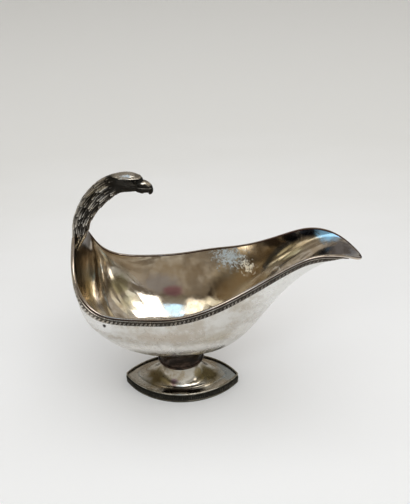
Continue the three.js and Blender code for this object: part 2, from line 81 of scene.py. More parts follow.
# Bowl
# Raised by hammer from one sheet of silver, planished and polished, with a high tongue at the back and
# a long spout in front. The outside is pale and worn, and the inside is stained brown by use.
BOWL_LENGTH = 223.5
BOWL_HALF_WIDTH = 48
BOWL_HEIGHT = 113.1
BOWL_FOOT = 37.1
BOWL_SHEET = 1.2
BOWL_STATIONS = [
    {"rim": (-34.5, 10.4, 99.9), "keel": (-34.5, 100), "turn": 30},
    {"rim": (-34.3, 32.3, 95.7), "keel": (-35.1, 89.7), "turn": 45},
    {"rim": (-33.5, 66.2, 82.9), "keel": (-35.4, 73.4), "turn": 72},
    {"rim": (-30.6, 84.6, 67.4), "keel": (-35.1, 56.6), "turn": 86},
    {"rim": (-23.4, 95, 56.6), "keel": (-32.1, 32.7), "turn": 90},
    {"rim": (-10.7, 98.3, 54.5), "keel": (-21.3, 9.4), "turn": 90},
    {"rim": (0.9, 100, 55.9), "keel": (-5.4, 0), "turn": 90},
    {"rim": (12.5, 93.3, 61.4), "keel": (9.8, 1.6), "turn": 90},
    {"rim": (24.2, 73.8, 69.3), "keel": (22.4, 13.3), "turn": 90},
    {"rim": (35.8, 57.5, 80.1), "keel": (32.7, 39.8), "turn": 88},
    {"rim": (46.1, 48.3, 88.9), "keel": (41.2, 61.5), "turn": 84},
    {"rim": (54.6, 38.8, 88.8), "keel": (49.2, 75.6), "turn": 78},
    {"rim": (60.9, 22.1, 83.3), "keel": (57.3, 83.5), "turn": 62},
    {"rim": (64.6, 0, 78.2), "keel": (64.6, 78.2), "turn": 40},
]
BOWL_ROWS = 260
RIB_STEPS = 140
LAST_STATION = len(BOWL_STATIONS) - 1
HULL_END = LAST_STATION - 0.12
BLOT_EDGE = 0.9
BLOT_FADE = 0.28
STAIN_AND_SHADE_EDGE = (0.5, 160)
PAINTED_REFLECTION_EDGE = (2.4, 360)
PAINTED_REFLECTION_FROM = 0.6


def spline(values, mirrored_end=False):
    """A curve of steady bending through values that stand one step apart."""
    values = np.asarray(values, float)
    last = len(values) - 1
    rows = np.zeros((last + 1, last + 1))
    pull = np.zeros(last + 1)
    rows[0, 0] = 1
    rows[last, last] = 1
    for i in range(1, last):
        rows[i, i - 1 : i + 2] = (1, 4, 1)
        pull[i] = 6 * (values[i - 1] - 2 * values[i] + values[i + 1])
    if mirrored_end:
        rows[last, last - 1 :] = (1, 2)
        pull[last] = 6 * (values[last - 1] - values[last])
    bend = np.linalg.solve(rows, pull)

    def at(t):
        i = np.clip(np.floor(t).astype(int), 0, last - 1)
        f = t - i
        g = 1 - f
        bow = (g**3 - g) * bend[i] + (f**3 - f) * bend[i + 1]
        return g * values[i] + f * values[i + 1] + bow / 6

    return at


rim_x = spline([s["rim"][0] * BOWL_LENGTH / 100 for s in BOWL_STATIONS], mirrored_end=True)
rim_half = spline([s["rim"][1] * BOWL_HALF_WIDTH / 100 for s in BOWL_STATIONS])
rim_z = spline([BOWL_FOOT + s["rim"][2] * BOWL_HEIGHT / 100 for s in BOWL_STATIONS], mirrored_end=True)
keel_x = spline([s["keel"][0] * BOWL_LENGTH / 100 for s in BOWL_STATIONS])
keel_z = spline([BOWL_FOOT + s["keel"][1] * BOWL_HEIGHT / 100 for s in BOWL_STATIONS])
turn_up = spline([math.radians(s["turn"]) for s in BOWL_STATIONS])


def hull(t, v):
    """Point of the hull's outer face: t counts stations, v runs from -1, the right rim, to 1, the left."""
    t, v = np.broadcast_arrays(np.asarray(t, float), np.asarray(v, float))
    turn = turn_up(t)
    rise = (1 - np.cos(v * turn)) / (1 - np.cos(turn))
    x = keel_x(t) + (rim_x(t) - keel_x(t)) * rise
    y = np.maximum(rim_half(t), 0) * np.sin(v * turn) / np.sin(turn)
    z = keel_z(t) + (rim_z(t) - keel_z(t)) * rise
    return np.stack([x, y, z], -1)


def unit(vectors):
    """The vectors, each made one long."""
    return vectors / np.linalg.norm(vectors, axis=-1, keepdims=True)


def hull_normal(t, v):
    """Outward normal of the hull."""
    t, v = np.broadcast_arrays(np.asarray(t, float), np.asarray(v, float))
    along = hull(np.minimum(t + 0.02, LAST_STATION - 0.02), v) - hull(np.maximum(t - 0.02, 0), v)
    across = hull(t, np.minimum(v + 0.01, 1)) - hull(t, np.maximum(v - 0.01, -1))
    return unit(np.cross(across, along))


def ring_faces(rows, columns, closed):
    """Quads between rings of points, each joined to the next, with a strip across each open end."""
    faces = []
    for i in range(rows if closed else rows - 1):
        a, b = i * columns, (i + 1) % rows * columns
        for j in range(columns):
            k = (j + 1) % columns
            faces.append((a + j, a + k, b + k, b + j))
    if not closed:
        half = columns // 2
        end = (rows - 1) * columns
        for j in range(half - 1):
            k = columns - 1 - j
            faces.append((j, k, k - 1, j + 1))
            faces.append((end + j, end + j + 1, end + k - 1, end + k))
    return faces


def build_mesh(name, rings, closed=False, sharp=40, marks=None):
    """A mesh from rings of points in millimetres, its faces turned outwards; marks is a value per point."""
    rings = np.asarray(rings, float)
    rows, columns = rings.shape[:2]
    points = in_place(rings.reshape(-1, 3))
    faces = np.array(ring_faces(rows, columns, closed))
    a, b, c, d = (points[faces[:, k]] for k in range(4))
    if np.sum(np.einsum("ij,ij->i", np.cross(c - a, d - b), a + b + c + d)) < 0:
        faces = faces[:, ::-1]
    mesh = bpy.data.meshes.new(name)
    mesh.from_pydata(points.tolist(), [], faces.tolist())
    mesh.polygons.foreach_set("use_smooth", [True] * len(mesh.polygons))
    mesh.set_sharp_from_angle(angle=math.radians(sharp))
    if marks is not None:
        relief = mesh.attributes.new("relief", "FLOAT", "POINT")
        relief.data.foreach_set("value", np.asarray(marks, np.float32).reshape(-1))
    return mesh


def show(name, mesh, materials, slot, *nodes):
    """Puts a piece in the scene, riding on the boat, in the place of its plain solids."""
    piece = bpy.data.objects.new(name, mesh)
    bpy.context.scene.collection.objects.link(piece)
    mesh.materials.clear()
    for material in materials:
        mesh.materials.append(material)
    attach(piece, "root")
    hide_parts(*nodes)
    return piece


def add_node(tree, kind, **values):
    """A node of a material, with the values of its own sockets."""
    made = tree.nodes.new(kind)
    for key, value in values.items():
        made.inputs[key.replace("_", " ")].default_value = value
    return made


def noise_of(tree, where, scale, detail=3.0, stretch=None, distortion=0.0):
    """Noise in the boat's own metres, by size of its patches, stretched along an axis where asked."""
    source = where
    if stretch:
        mapping = tree.nodes.new("ShaderNodeMapping")
        mapping.inputs["Scale"].default_value = stretch
        tree.links.new(where, mapping.inputs["Vector"])
        source = mapping.outputs["Vector"]
    grain = add_node(tree, "ShaderNodeTexNoise", Scale=scale, Detail=detail, Distortion=distortion)
    tree.links.new(source, grain.inputs["Vector"])
    return grain.outputs["Fac"]


def between(tree, value, low, high, out_low=0.0, out_high=1.0):
    """Maps value from low..high to out_low..out_high, and holds it at both ends."""
    ranged = tree.nodes.new("ShaderNodeMapRange")
    ranged.interpolation_type = "SMOOTHSTEP"
    for key, number in zip(("From Min", "From Max", "To Min", "To Max"), (low, high, out_low, out_high)):
        ranged.inputs[key].default_value = number
    tree.links.new(value, ranged.inputs["Value"])
    return ranged.outputs["Result"]


def blend_colours(tree, factor, first, second):
    """The first colour where factor is 0 and the second where it is 1; each is a colour or a socket."""
    mix = tree.nodes.new("ShaderNodeMix")
    mix.data_type = "RGBA"
    for socket, colour in ((mix.inputs[6], first), (mix.inputs[7], second)):
        if isinstance(colour, tuple):
            socket.default_value = (*colour, 1)
        else:
            tree.links.new(colour, socket)
    tree.links.new(factor, mix.inputs[0])
    return mix.outputs[2]


def sum_of(tree, *parts):
    """Adds values, each given with its weight."""
    total = None
    for value, weight in parts:
        step = tree.nodes.new("ShaderNodeMath")
        step.operation = "MULTIPLY_ADD"
        tree.links.new(value, step.inputs[0])
        step.inputs[1].default_value = weight
        if total is None:
            step.inputs[2].default_value = 0
        else:
            tree.links.new(total, step.inputs[2])
        total = step.outputs[0]
    return total


def length_of(tree, vector):
    """The length of a vector, as a socket."""
    measure = tree.nodes.new("ShaderNodeVectorMath")
    measure.operation = "LENGTH"
    tree.links.new(vector, measure.inputs[0])
    return measure.outputs["Value"]


def blot(tree, where, middle, size, ragged, grain):
    """A patch round a place on the boat, in millimetres like its size: 1 inside, 0 past its ragged edge."""
    place = tree.nodes.new("ShaderNodeMapping")
    size = np.asarray(size, float) * 0.001
    place.inputs["Scale"].default_value = 1 / size
    place.inputs["Location"].default_value = -in_place(middle) / size
    tree.links.new(where, place.inputs["Vector"])
    away = length_of(tree, place.outputs["Vector"])
    edge = noise_of(tree, where, grain, 4, distortion=0.8)
    reach = sum_of(tree, (away, 1.0), (edge, 2 * ragged))
    fade = BLOT_FADE * (1 + ragged)
    return between(tree, reach, BLOT_EDGE + ragged - fade, BLOT_EDGE + ragged + fade, 1, 0)


def new_material(name, metallic=0.0, roughness=0.9):
    """A new material, with its nodes, its shader and the place of each point in the boat's own metres."""
    material = bpy.data.materials.new(name)
    material.use_nodes = True
    tree = material.node_tree
    shader = tree.nodes["Principled BSDF"]
    shader.inputs["Metallic"].default_value = metallic
    shader.inputs["Roughness"].default_value = roughness
    return material, tree, shader, tree.nodes.new("ShaderNodeTexCoord").outputs["Object"]


def worn_silver(name, bright, stain, stain_size, stained, roughness, waviness, spots=0.0, stains_and_painted_light=()):
    """Polished silver with stained patches, fine scratches and the slight waves left by the hammer; each
    blot is a place, a size, a colour, how strong it is and how far it turns matte, and later ones lie over
    earlier. Blots are stains, and also painted highlights, shade and reflections; the matte ones are
    painted reflections."""
    material, tree, shader, where = new_material(name, metallic=1)
    painted_reflection = None
    patches = noise_of(tree, where, 1 / stain_size, 5, distortion=0.9)
    smears = noise_of(tree, where, 2.2 / stain_size, 5, stretch=(0.3, 1, 1.2), distortion=0.5)
    mottle = noise_of(tree, where, 9 / stain_size, 4)
    low, high = stained
    mask = between(tree, sum_of(tree, (patches, 0.45), (smears, 0.3), (mottle, 0.25)), low, high)
    colour = blend_colours(tree, mask, bright, stain)
    film = mask
    for middle, size, tone, strength, painted_matte in stains_and_painted_light:
        ragged, grain = PAINTED_REFLECTION_EDGE if painted_matte > PAINTED_REFLECTION_FROM else STAIN_AND_SHADE_EDGE
        patch = sum_of(tree, (blot(tree, where, middle, size, ragged, grain), strength))
        colour = blend_colours(tree, patch, colour, tone)
        film = sum_of(tree, (film, 1.0), (patch, 0.5))
        if painted_matte and painted_reflection is None:
            painted_reflection = sum_of(tree, (patch, painted_matte))
        elif painted_matte:
            painted_reflection = sum_of(tree, (painted_reflection, 1.0), (patch, painted_matte))
    # The matte patches are painted reflections: less metal, so their painted colour shows as it is
    if painted_reflection is not None:
        tree.links.new(between(tree, painted_reflection, 0, 1, 1, 0), shader.inputs["Metallic"])
    if spots:
        specks = noise_of(tree, where, 700, 2)
        speck = between(tree, specks, 0.68, 0.76, 0, spots)
        colour = blend_colours(tree, speck, colour, tuple(0.35 * c for c in stain))
    tree.links.new(colour, shader.inputs["Base Color"])
    along = noise_of(tree, where, 1500, 2, stretch=(0.06, 1, 1))
    upward = noise_of(tree, where, 1300, 2, stretch=(1, 1, 0.08))
    scratches = sum_of(tree, (along, 0.5), (upward, 0.5))
    smooth, rough = roughness
    dull = sum_of(tree, (film, 0.6), (scratches, 0.4))
    tree.links.new(between(tree, dull, 0.1, 0.8, smooth, rough), shader.inputs["Roughness"])
    hammered = noise_of(tree, where, 75, 2, distortion=0.4)
    waves = add_node(tree, "ShaderNodeBump", Strength=1.0, Distance=waviness)
    tree.links.new(hammered, waves.inputs["Height"])
    fine = add_node(tree, "ShaderNodeBump", Strength=0.3, Distance=0.00001)
    tree.links.new(scratches, fine.inputs["Height"])
    tree.links.new(waves.outputs["Normal"], fine.inputs["Normal"])
    tree.links.new(fine.outputs["Normal"], shader.inputs["Normal"])
    return material


OUTSIDE_STAINS_AND_PAINTED_LIGHT = [
    # Spout painted bright, less tarnish and a painted reflection of the floor; a darker band below the rim
    # strip, painted shade under it; lighter sides
    ((100, -10, 110), (60, 30, 40), (0.86, 0.86, 0.84), 0.8, 0),
    ((-6, -46, 80), (27, 8, 6.5), (0.47, 0.40, 0.32), 0.65, 0),
    ((-58, -42, 94), (17, 10, 12), (0.84, 0.84, 0.83), 0.7, 0),
    ((54, -27, 74), (14, 12, 9), (0.82, 0.80, 0.76), 0.6, 0),
    ((34, -40, 74), (16, 12, 8), (0.48, 0.42, 0.32), 0.6, 0),
    # Low edge beside the collar painted dark, as shade and the dark collar's reflection; the belly painted
    # pale, as the bright floor's reflection; a small dark spot near the back
    ((34, -21, 50.5), (17, 9, 3.5), (0.16, 0.135, 0.10), 0.9, 0),
    ((-32, -29, 52.5), (15, 8, 2.5), (0.28, 0.24, 0.18), 0.8, 0),
    ((-8, -34, 60), (54, 17, 11.5), (0.90, 0.87, 0.82), 0.92, 0),
    ((-53, -45, 91.5), (1.4, 3, 2.0), (0.03, 0.025, 0.025), 1.0, 0),
]
INSIDE_STAINS_AND_PAINTED_LIGHT = [
    # Brown back wall; its corner painted darker, painted shade over the tarnish, and darker up the tongue
    ((-82, 0, 104), (19, 40, 30), (0.47, 0.36, 0.21), 0.9, 0),
    ((-64, 41, 107), (10, 8, 8), (0.40, 0.33, 0.24), 0.7, 0),
    ((-68, 27, 84), (5, 11, 15), (0.20, 0.16, 0.11), 0.9, 0),
    ((-64, 31, 79), (4, 7, 13), (0.22, 0.18, 0.13), 0.85, 0),
    ((-52, 41, 87), (7, 5, 9), (0.46, 0.42, 0.34), 0.7, 0),
    ((-44, 25, 57), (6, 5, 5), (0.52, 0.49, 0.40), 0.6, 0),
    ((-71, 27, 101), (7, 9, 18), (0.15, 0.12, 0.08), 0.85, 0),
    ((-75, 26, 130), (10, 16, 16), (0.07, 0.055, 0.042), 0.95, 0),
    ((-77, 4, 138), (10, 14, 18), (0.14, 0.11, 0.09), 0.95, 0),
    # Far wall: clean towards the spout, then grey-blue, olive and reddish stains, and a matte pale blue and
    # cream patch, a painted reflection of a window
    ((44, 31, 80), (26, 15, 17), (1.0, 0.92, 0.74), 0.95, 0),
    ((-20, 42, 73), (18, 6, 10), (0.62, 0.63, 0.70), 0.8, 0),
    ((-53, 36, 77), (9, 9, 9), (0.44, 0.41, 0.26), 0.8, 0),
    ((-47, 30, 64), (6, 6, 6), (0.60, 0.57, 0.42), 0.7, 0),
    ((-8, 40, 67), (9, 4, 5), (0.56, 0.30, 0.38), 0.9, 0),
    ((43, 38, 103), (12, 7, 9), (0.70, 0.86, 1.0), 0.9, 0.75),
    ((57, 31, 97), (5, 5, 5), (1.0, 0.93, 0.76), 0.9, 0.8),
    # Spout: brown at its root; black along its far edge and blue at the tip, painted reflections of the
    # dark room and the sky; grey at the tip
    ((84, 20, 118), (22, 12, 12), (0.52, 0.45, 0.31), 0.7, 0),
    ((72, 24, 110), (9, 8, 9), (0.50, 0.41, 0.26), 0.6, 0),
    ((58, -30, 100), (20, 10, 14), (0.45, 0.38, 0.27), 0.6, 0),
    ((76, 28, 124), (14, 7, 6), (0.06, 0.05, 0.045), 0.95, 0),
    ((92, 25, 131), (13, 7, 6), (0.035, 0.035, 0.04), 1.0, 0),
    ((106, 22, 137), (12, 8, 6), (0.03, 0.035, 0.05), 1.0, 0),
    ((121, 17, 137), (11, 8, 7), (0.30, 0.62, 0.95), 0.95, 0.5),
    ((130, 1, 131), (17, 13, 8), (0.17, 0.17, 0.20), 0.88, 0),
]
silver_outside = worn_silver(
    "silver_outside",
    bright=(0.66, 0.645, 0.61),
    stain=(0.50, 0.455, 0.39),
    stain_size=0.04,
    stained=(0.42, 0.62),
    roughness=(0.14, 0.30),
    waviness=0.00008,
    spots=0.5,
    stains_and_painted_light=OUTSIDE_STAINS_AND_PAINTED_LIGHT,
)
silver_inside = worn_silver(
    "silver_inside",
    bright=(0.84, 0.80, 0.73),
    stain=(0.64, 0.55, 0.43),
    stain_size=0.045,
    stained=(0.42, 0.60),
    roughness=(0.05, 0.16),
    waviness=0.00013,
    spots=0.4,
    stains_and_painted_light=INSIDE_STAINS_AND_PAINTED_LIGHT,
)
hull_t, hull_v = np.meshgrid(
    np.linspace(0, HULL_END, BOWL_ROWS + 1), np.linspace(-1, 1, RIB_STEPS + 1), indexing="ij"
)
outer = hull(hull_t, hull_v)
inner = outer - BOWL_SHEET * hull_normal(hull_t, hull_v)
bowl_mesh = build_mesh("bowl_raised", np.concatenate([outer, inner[:, ::-1]], 1))
show("bowl_raised", bowl_mesh, [silver_outside, silver_inside], "silver", "bowl")
columns = 2 * (RIB_STEPS + 1)
faces_inside = [int(RIB_STEPS <= k % columns < columns - 1) for k in range(BOWL_ROWS * columns)]
faces_inside += [1] * (len(bowl_mesh.polygons) - len(faces_inside))
bowl_mesh.polygons.foreach_set("material_index", faces_inside)

# Lip wire
# A half-round drawn wire, soldered on the edge of the sheet from the handle along the right rim, round
# the tip of the spout and back along the left rim, and filed flush inside.
WIRE_OVERHANG = 0.6
WIRE_INSIDE = 0.2
WIRE_HEIGHT = 1.4
WIRE_START = 0.3
WIRE_STEP = 0.9
WIRE_ROUND = 17
WIRE_SQUARENESS = 0.75


def rim_frame(t, side):
    """Place on the rim, the direction out of the wall, and up past its edge; round the tip both lie level
    with the middle of the spout."""
    t = np.asarray(t, float)
    reach = np.minimum(t, HULL_END)
    out = hull_normal(reach, side)
    past = unit(hull(reach, side) - hull(reach, side * 0.99))
    turned = np.clip((t - HULL_END) / (LAST_STATION - HULL_END), 0, 1)
    out[:, 1] *= 1 - turned
    past[:, 1] *= 1 - turned
    return hull(t, side), unit(out), unit(past)


def even_steps(curve, start, end, step):
    """Values of the curve's own measure between start and end that stand an even way apart."""
    t = np.linspace(start, end, 4000)
    run = np.concatenate([[0], np.cumsum(np.linalg.norm(np.diff(curve(t), axis=0), axis=1))])
    count = max(2, round(run[-1] / step) + 1)
    return np.interp(np.linspace(0, run[-1], count), run, t)


def wire_rings(t, side):
    """The wire's section at each place along the rim, flat side down."""
    at, out, past = rim_frame(t, side)
    inside = -BOWL_SHEET - WIRE_INSIDE
    middle, half = (inside + WIRE_OVERHANG) / 2, (WIRE_OVERHANG - inside) / 2
    angle = np.linspace(0, math.pi, WIRE_ROUND)
    offset = middle + half * np.sign(np.cos(angle)) * np.abs(np.cos(angle)) ** WIRE_SQUARENESS
    height = WIRE_HEIGHT * np.sin(angle) ** WIRE_SQUARENESS
    offset = np.append(offset, middle)
    height = np.append(height, -0.02)
    return at[:, None] + out[:, None] * offset[:, None] + past[:, None] * height[:, None]


def wire_relief():
    """How far polish reaches round the wire: not down its inner side, and not into the groove between it
    and the strip below, which is kept dark as a painted shade."""
    turn = np.linspace(0, 1, WIRE_ROUND)
    # Dark towards the groove by the strip below: painted shade
    outer_edge = np.clip((turn - 0.03) / 0.1, 0, 1)
    inner_edge = np.clip((0.86 - turn) / 0.2, 0.1, 1)
    return np.append(outer_edge * inner_edge, 0)


def rolled_silver(name, bright, dark, roughness, rubbed_from=0.85, warmth=0.4):
    """Silver whose hollows are dark: the relief at each point says how much of the tarnish is rubbed off,
    and on some parts also where a highlight or shade is painted; rubbed_from is where the polish begins."""
    material, tree, shader, where = new_material(name, metallic=1)
    relief = tree.nodes.new("ShaderNodeAttribute")
    relief.attribute_name = "relief"
    wear = noise_of(tree, where, 150, 4)
    grime = noise_of(tree, where, 700, 3)
    rubbed = sum_of(tree, (relief.outputs["Fac"], 1.0), (wear, 0.6), (grime, 0.4))
    shine = between(tree, rubbed, rubbed_from, rubbed_from + 0.6)
    warm = between(tree, noise_of(tree, where, 90, 3), 0.42, 0.62, 0, warmth)
    tint = blend_colours(tree, warm, bright, tuple(0.7 * b * w for b, w in zip(bright, (1, 0.86, 0.64))))
    colour = blend_colours(tree, shine, dark, tint)
    tree.links.new(colour, shader.inputs["Base Color"])
    smooth, rough = roughness
    tree.links.new(between(tree, shine, 0, 1, rough, smooth), shader.inputs["Roughness"])
    pits = add_node(tree, "ShaderNodeBump", Strength=0.5, Distance=0.00004)
    tree.links.new(grime, pits.inputs["Height"])
    tree.links.new(pits.outputs["Normal"], shader.inputs["Normal"])
    return material


silver_wire = rolled_silver(
    "silver_wire",
    bright=(0.60, 0.54, 0.48),
    dark=(0.07, 0.035, 0.03),
    roughness=(0.12, 0.4),
    rubbed_from=0.8,
)
wire_t = even_steps(lambda t: hull(t, 1), WIRE_START, LAST_STATION, WIRE_STEP)
right_rings = wire_rings(wire_t, -1)
left_rings = wire_rings(wire_t[:-1], 1)[::-1]
wire_rows = np.concatenate([right_rings, left_rings])
wire_marks = np.repeat(wire_relief()[None], len(wire_rows), 0)
wire_mesh = build_mesh("lip_wire_drawn", wire_rows, marks=wire_marks)
show("lip_wire_drawn", wire_mesh, [silver_wire], "silver", "lip_wire")

# Rim strips
# Two strips of die-rolled silver, soldered on the outside close below the wire: a fillet, a hollow and a
# row of small upright leaves. The hollows are dark with tarnish and the raised edges are rubbed bright.
STRIP_DROP = 0.5
STRIP_WIDTH = 5.4
STRIP_START = 0.4
STRIP_END = 11.9
STRIP_PITCH = 3.2
STRIP_THICKNESS = 1.2
STRIP_GROUND = 0.35
STRIP_BACK_GAP = 0.02
STEPS_PER_LEAF = 14
STEPS_ACROSS_STRIP = 27
STRIP_WORN_PLACE = -66
STRIP_WORN_REACH = 26
STRIP_WORN_CORE = 1.2
STRIP_WEAR = 0.4
STRIP_FILLETS = ((0.08, 0.08, 1.0), (0.97, 0.03, 0.45))
STRIP_LEAVES = (0.30, 0.93)
LEAF_HALF_WIDTH = 0.38
VEIN_WIDTH = 0.07
VEIN_DEPTH = 0.4
LEAF_HEIGHT = 0.9
BERRY = (0.16, 0.17, 0.15, 0.85)
BUD = (0.82, 0.13, 0.14, 0.8)


def below_rim(t, side, downs):
    """Points of the hull's outer face at given ways down the wall from the rim, and the normals there."""
    v = side * np.linspace(1, 0.3, 90)
    ribs = hull(t[:, None], v[None])
    run = np.cumsum(np.linalg.norm(np.diff(ribs, axis=1), axis=2), axis=1)
    run = np.concatenate([np.zeros((len(t), 1)), run], 1)
    places = np.stack([np.interp(downs, run[i], v * side) for i in range(len(t))]) * side
    times = np.repeat(t[:, None], len(downs), 1)
    return hull(times, places), hull_normal(times, places)


def leaf_strip(across, pitch_place, fillets, leaves):
    """Height of the rolled ornament, from 0 to 1: across runs over the strip, 0 at its upper edge, and
    pitch_place counts leaves along it. A fillet is its middle, its half width and its height. Between the
    leaves stand a berry and a bud, each given by its place up the leaf, half width, half height, height."""
    fillet = np.zeros_like(across)
    for middle, half, high in fillets:
        fillet = np.maximum(fillet, high * np.sqrt(np.clip(1 - ((across - middle) / half) ** 2, 0, 1)))
    leaf_top, leaf_foot = leaves
    rise = np.clip((leaf_foot - across) / (leaf_foot - leaf_top), 0, 1)
    from_leaf = pitch_place - np.round(pitch_place)
    from_gap = from_leaf - 0.5 * np.sign(from_leaf)
    half = LEAF_HALF_WIDTH * np.sin(math.pi * np.clip(0.08 + 0.92 * rise, 0, 1)) ** 0.7 + 1e-6
    vein = VEIN_DEPTH * np.exp(-((from_leaf / VEIN_WIDTH) ** 2))
    raised = np.clip(1 - (from_leaf / half) ** 2, 0, 1) ** 0.5 * (LEAF_HEIGHT - vein)
    for place, half_wide, half_tall, high in (BERRY, BUD):
        knob = np.clip(1 - (from_gap / half_wide) ** 2 - ((rise - place) / half_tall) ** 2, 0, 1) ** 0.5
        raised = np.maximum(raised, high * knob)
    inside = (across > leaf_top) & (across < leaf_foot)
    return np.maximum(fillet, raised * inside)


silver_rolled = rolled_silver(
    "silver_rolled",
    bright=(0.56, 0.52, 0.46),
    dark=(0.065, 0.056, 0.048),
    roughness=(0.2, 0.5),
    rubbed_from=1.0,
)
for side, hand in ((1, "left"), (-1, "right")):
    strip_t = even_steps(lambda t: hull(t, 1), STRIP_START, STRIP_END, STRIP_PITCH / STEPS_PER_LEAF)
    across = np.linspace(0, 1, STEPS_ACROSS_STRIP)
    at, out = below_rim(strip_t, side, STRIP_DROP + STRIP_WIDTH * across)
    leaves = np.arange(len(strip_t))[:, None] / STEPS_PER_LEAF
    grid = np.broadcast_arrays(across[None], leaves)
    relief = leaf_strip(*grid, STRIP_FILLETS, STRIP_LEAVES)
    face = at + out * (STRIP_GROUND + (STRIP_THICKNESS - STRIP_GROUND) * relief)[..., None]
    back_columns = [-1, STEPS_ACROSS_STRIP // 2, 0]
    back = at[:, back_columns] + out[:, back_columns] * STRIP_BACK_GAP
    rings = np.concatenate([face, back], 1)
    worn = np.clip(STRIP_WORN_CORE - np.abs(at[..., 0] - STRIP_WORN_PLACE) / STRIP_WORN_REACH, 0, 1)
    marks = np.concatenate([relief + STRIP_WEAR * worn, np.zeros((len(strip_t), len(back_columns)))], 1)
    mesh = build_mesh("rim_strip_" + hand, rings, sharp=60, marks=marks)
    show("rim_strip_" + hand, mesh, [silver_rolled], "silver_oxidised", "rim_frieze_" + hand)

# Handle
# An eagle's neck and head, cast in silver in two halves and soldered on the middle line, then soldered
# over the bowl's tongue. Feathers overlap down the neck, their tips towards the bowl, and those of the
# crown are short and fine. The casting is dark with tarnish, and bright where the hand has rubbed it;
# along the top of the neck, on the crown and along the beak's ridge it is also lighter as a painted
# highlight, and below the brow darker as a painted shade.
HANDLE_REACH = 60
HANDLE_RISE = 42
NECK_DEPTH = 16.8
NECK_WIDTH = 14.8
NECK_STATIONS = [
    {"along": -1, "above": -39.3, "depth": 19, "side": 29.7},
    {"along": 2.3, "above": -19, "depth": 52.4, "side": 73},
    {"along": 7, "above": 1.4, "depth": 76.2, "side": 91.9},
    {"along": 10.3, "above": 19.5, "depth": 81, "side": 94.6},
    {"along": 17.3, "above": 41, "depth": 88.1, "side": 97.3},
    {"along": 28, "above": 62.6, "depth": 96.4, "side": 100},
    {"along": 42.7, "above": 82.9, "depth": 100, "side": 98.6},
    {"along": 58.3, "above": 96.2, "depth": 96.4, "side": 93.2},
    {"along": 73.5, "above": 99.8, "depth": 98.8, "side": 87.8},
    {"along": 82.6, "above": 98.5, "depth": 91.7, "side": 82.4},
    {"along": 88.8, "above": 96, "depth": 76.2, "side": 67.6},
    {"along": 92.2, "above": 94.2, "depth": 42.9, "side": 40.5},
]
BEAK_STATIONS = [
    {"along": 83, "above": 94, "depth": 50, "side": 50},
    {"along": 91.8, "above": 90.7, "depth": 65.5, "side": 58.1},
    {"along": 97.2, "above": 87.9, "depth": 59.5, "side": 48.6},
    {"along": 100.3, "above": 83.8, "depth": 44, "side": 36.5},
    {"along": 101.5, "above": 79.5, "depth": 26.2, "side": 23},
    {"along": 100.8, "above": 75.5, "depth": 9.5, "side": 10.8},
]
NECK_ROWS = 520
NECK_COLUMNS = 240
BEAK_ROWS = 90
BEAK_COLUMNS = 96
FEATHERED_SHARE = 0.76
FEATHER_ROWS = 13
FEATHERS_ROUND = 13
FEATHER_COVER = 2.6
FEATHER_LIFT = 1.1
FEATHER_HALF_WIDTH = 1.05
FEATHER_SHOULDER = 0.35
SHAFT_WIDTH = 0.16
BARBS_PER_ROW = 4.5
BARB_SLANT = 1.6
SHORT_FEATHERS_ROUND = 46
SHORT_FEATHER_LIFT = 0.14
CROWN_SINK = 0.35
FACE_DEPTH = 1.5
# Lines of the head in the side view, in millimetres: start, end, half width and how far out it stands
BROW = ((39.0, 47.0), (53.6, 45.9), 0.9, 0.7)
SOCKET = ((48.0, 44.2), (53.5, 43.2), 1.7, -0.9)
CHEEK = ((40.0, 41.2), (52.5, 39.2), 1.9, 0.9)
JAW = ((41.0, 37.4), (55.0, 36.8), 0.5, -0.45)
LORE = ((52.5, 42.0), (57.5, 41.2), 1.1, -0.5)
MOUTH = ((52.5, 38.0), (61.8, 36.4), 0.4, -0.7)
LIP = ((52.5, 38.8), (61.8, 37.2), 0.5, 0.3)
NOSTRIL = ((57.4, 40.8), (58.8, 40.3), 0.5, -0.6)
BEAK_RIDGE = ((55.5, 42.6), (61, 40.6), 1.3)
CERE_SHARE = (0.22, 0.30)
CERE_LIFT = 0.25
EYE_PLACE = (50.6, 43.7)
EYE_RADIUS = 1.6
EYE_OUT = 3.9
PUPIL_RING = 0.55
PUPIL_GROOVE = 0.10
EYE_RINGS = 24
EYE_COLUMNS = 32
CUT_ALONG = (-20, 80)
CUT_WIDE = 30
CUT_LOW = -40
CUT_HIGH = 70
tongue_top = hull(0, 0)


def swept(stations, rows, columns):
    """Points and outward directions of oval rings along a path in the middle plane, with the path's
    share and the turn round it, from 0 at the top to 1."""
    last = len(stations) - 1
    t = np.linspace(0, last, rows)
    along = spline([s["along"] * HANDLE_REACH / 100 for s in stations])
    above = spline([s["above"] * HANDLE_RISE / 100 for s in stations])
    depth = spline([s["depth"] * NECK_DEPTH / 200 for s in stations])
    side = spline([s["side"] * NECK_WIDTH / 200 for s in stations])
    path = np.stack([along(t), above(t)], -1)
    heading = unit(np.gradient(path, axis=0))
    turn = np.arange(columns) / columns
    c, s = np.cos(2 * math.pi * turn), np.sin(2 * math.pi * turn)
    d, w = depth(t)[:, None], side(t)[:, None]
    over = np.stack([-heading[:, 1], heading[:, 0]], -1)[:, None]
    flat = path[:, None] + over * (d * c)[..., None]
    points = np.stack([flat[..., 0], w * s, flat[..., 1]], -1)
    lean = over * (w * c)[..., None]
    out = unit(np.stack([lean[..., 0], d * s, lean[..., 1]], -1))
    run = np.concatenate([[0], np.cumsum(np.linalg.norm(np.diff(path, axis=0), axis=1))])
    return points, out, run, np.repeat(turn[None], rows, 0)


def soft_step(low, high, x):
    """0 below low, 1 above high, and a smooth rise between them."""
    f = np.clip((x - low) / (high - low), 0, 1)
    return f * f * (3 - 2 * f)


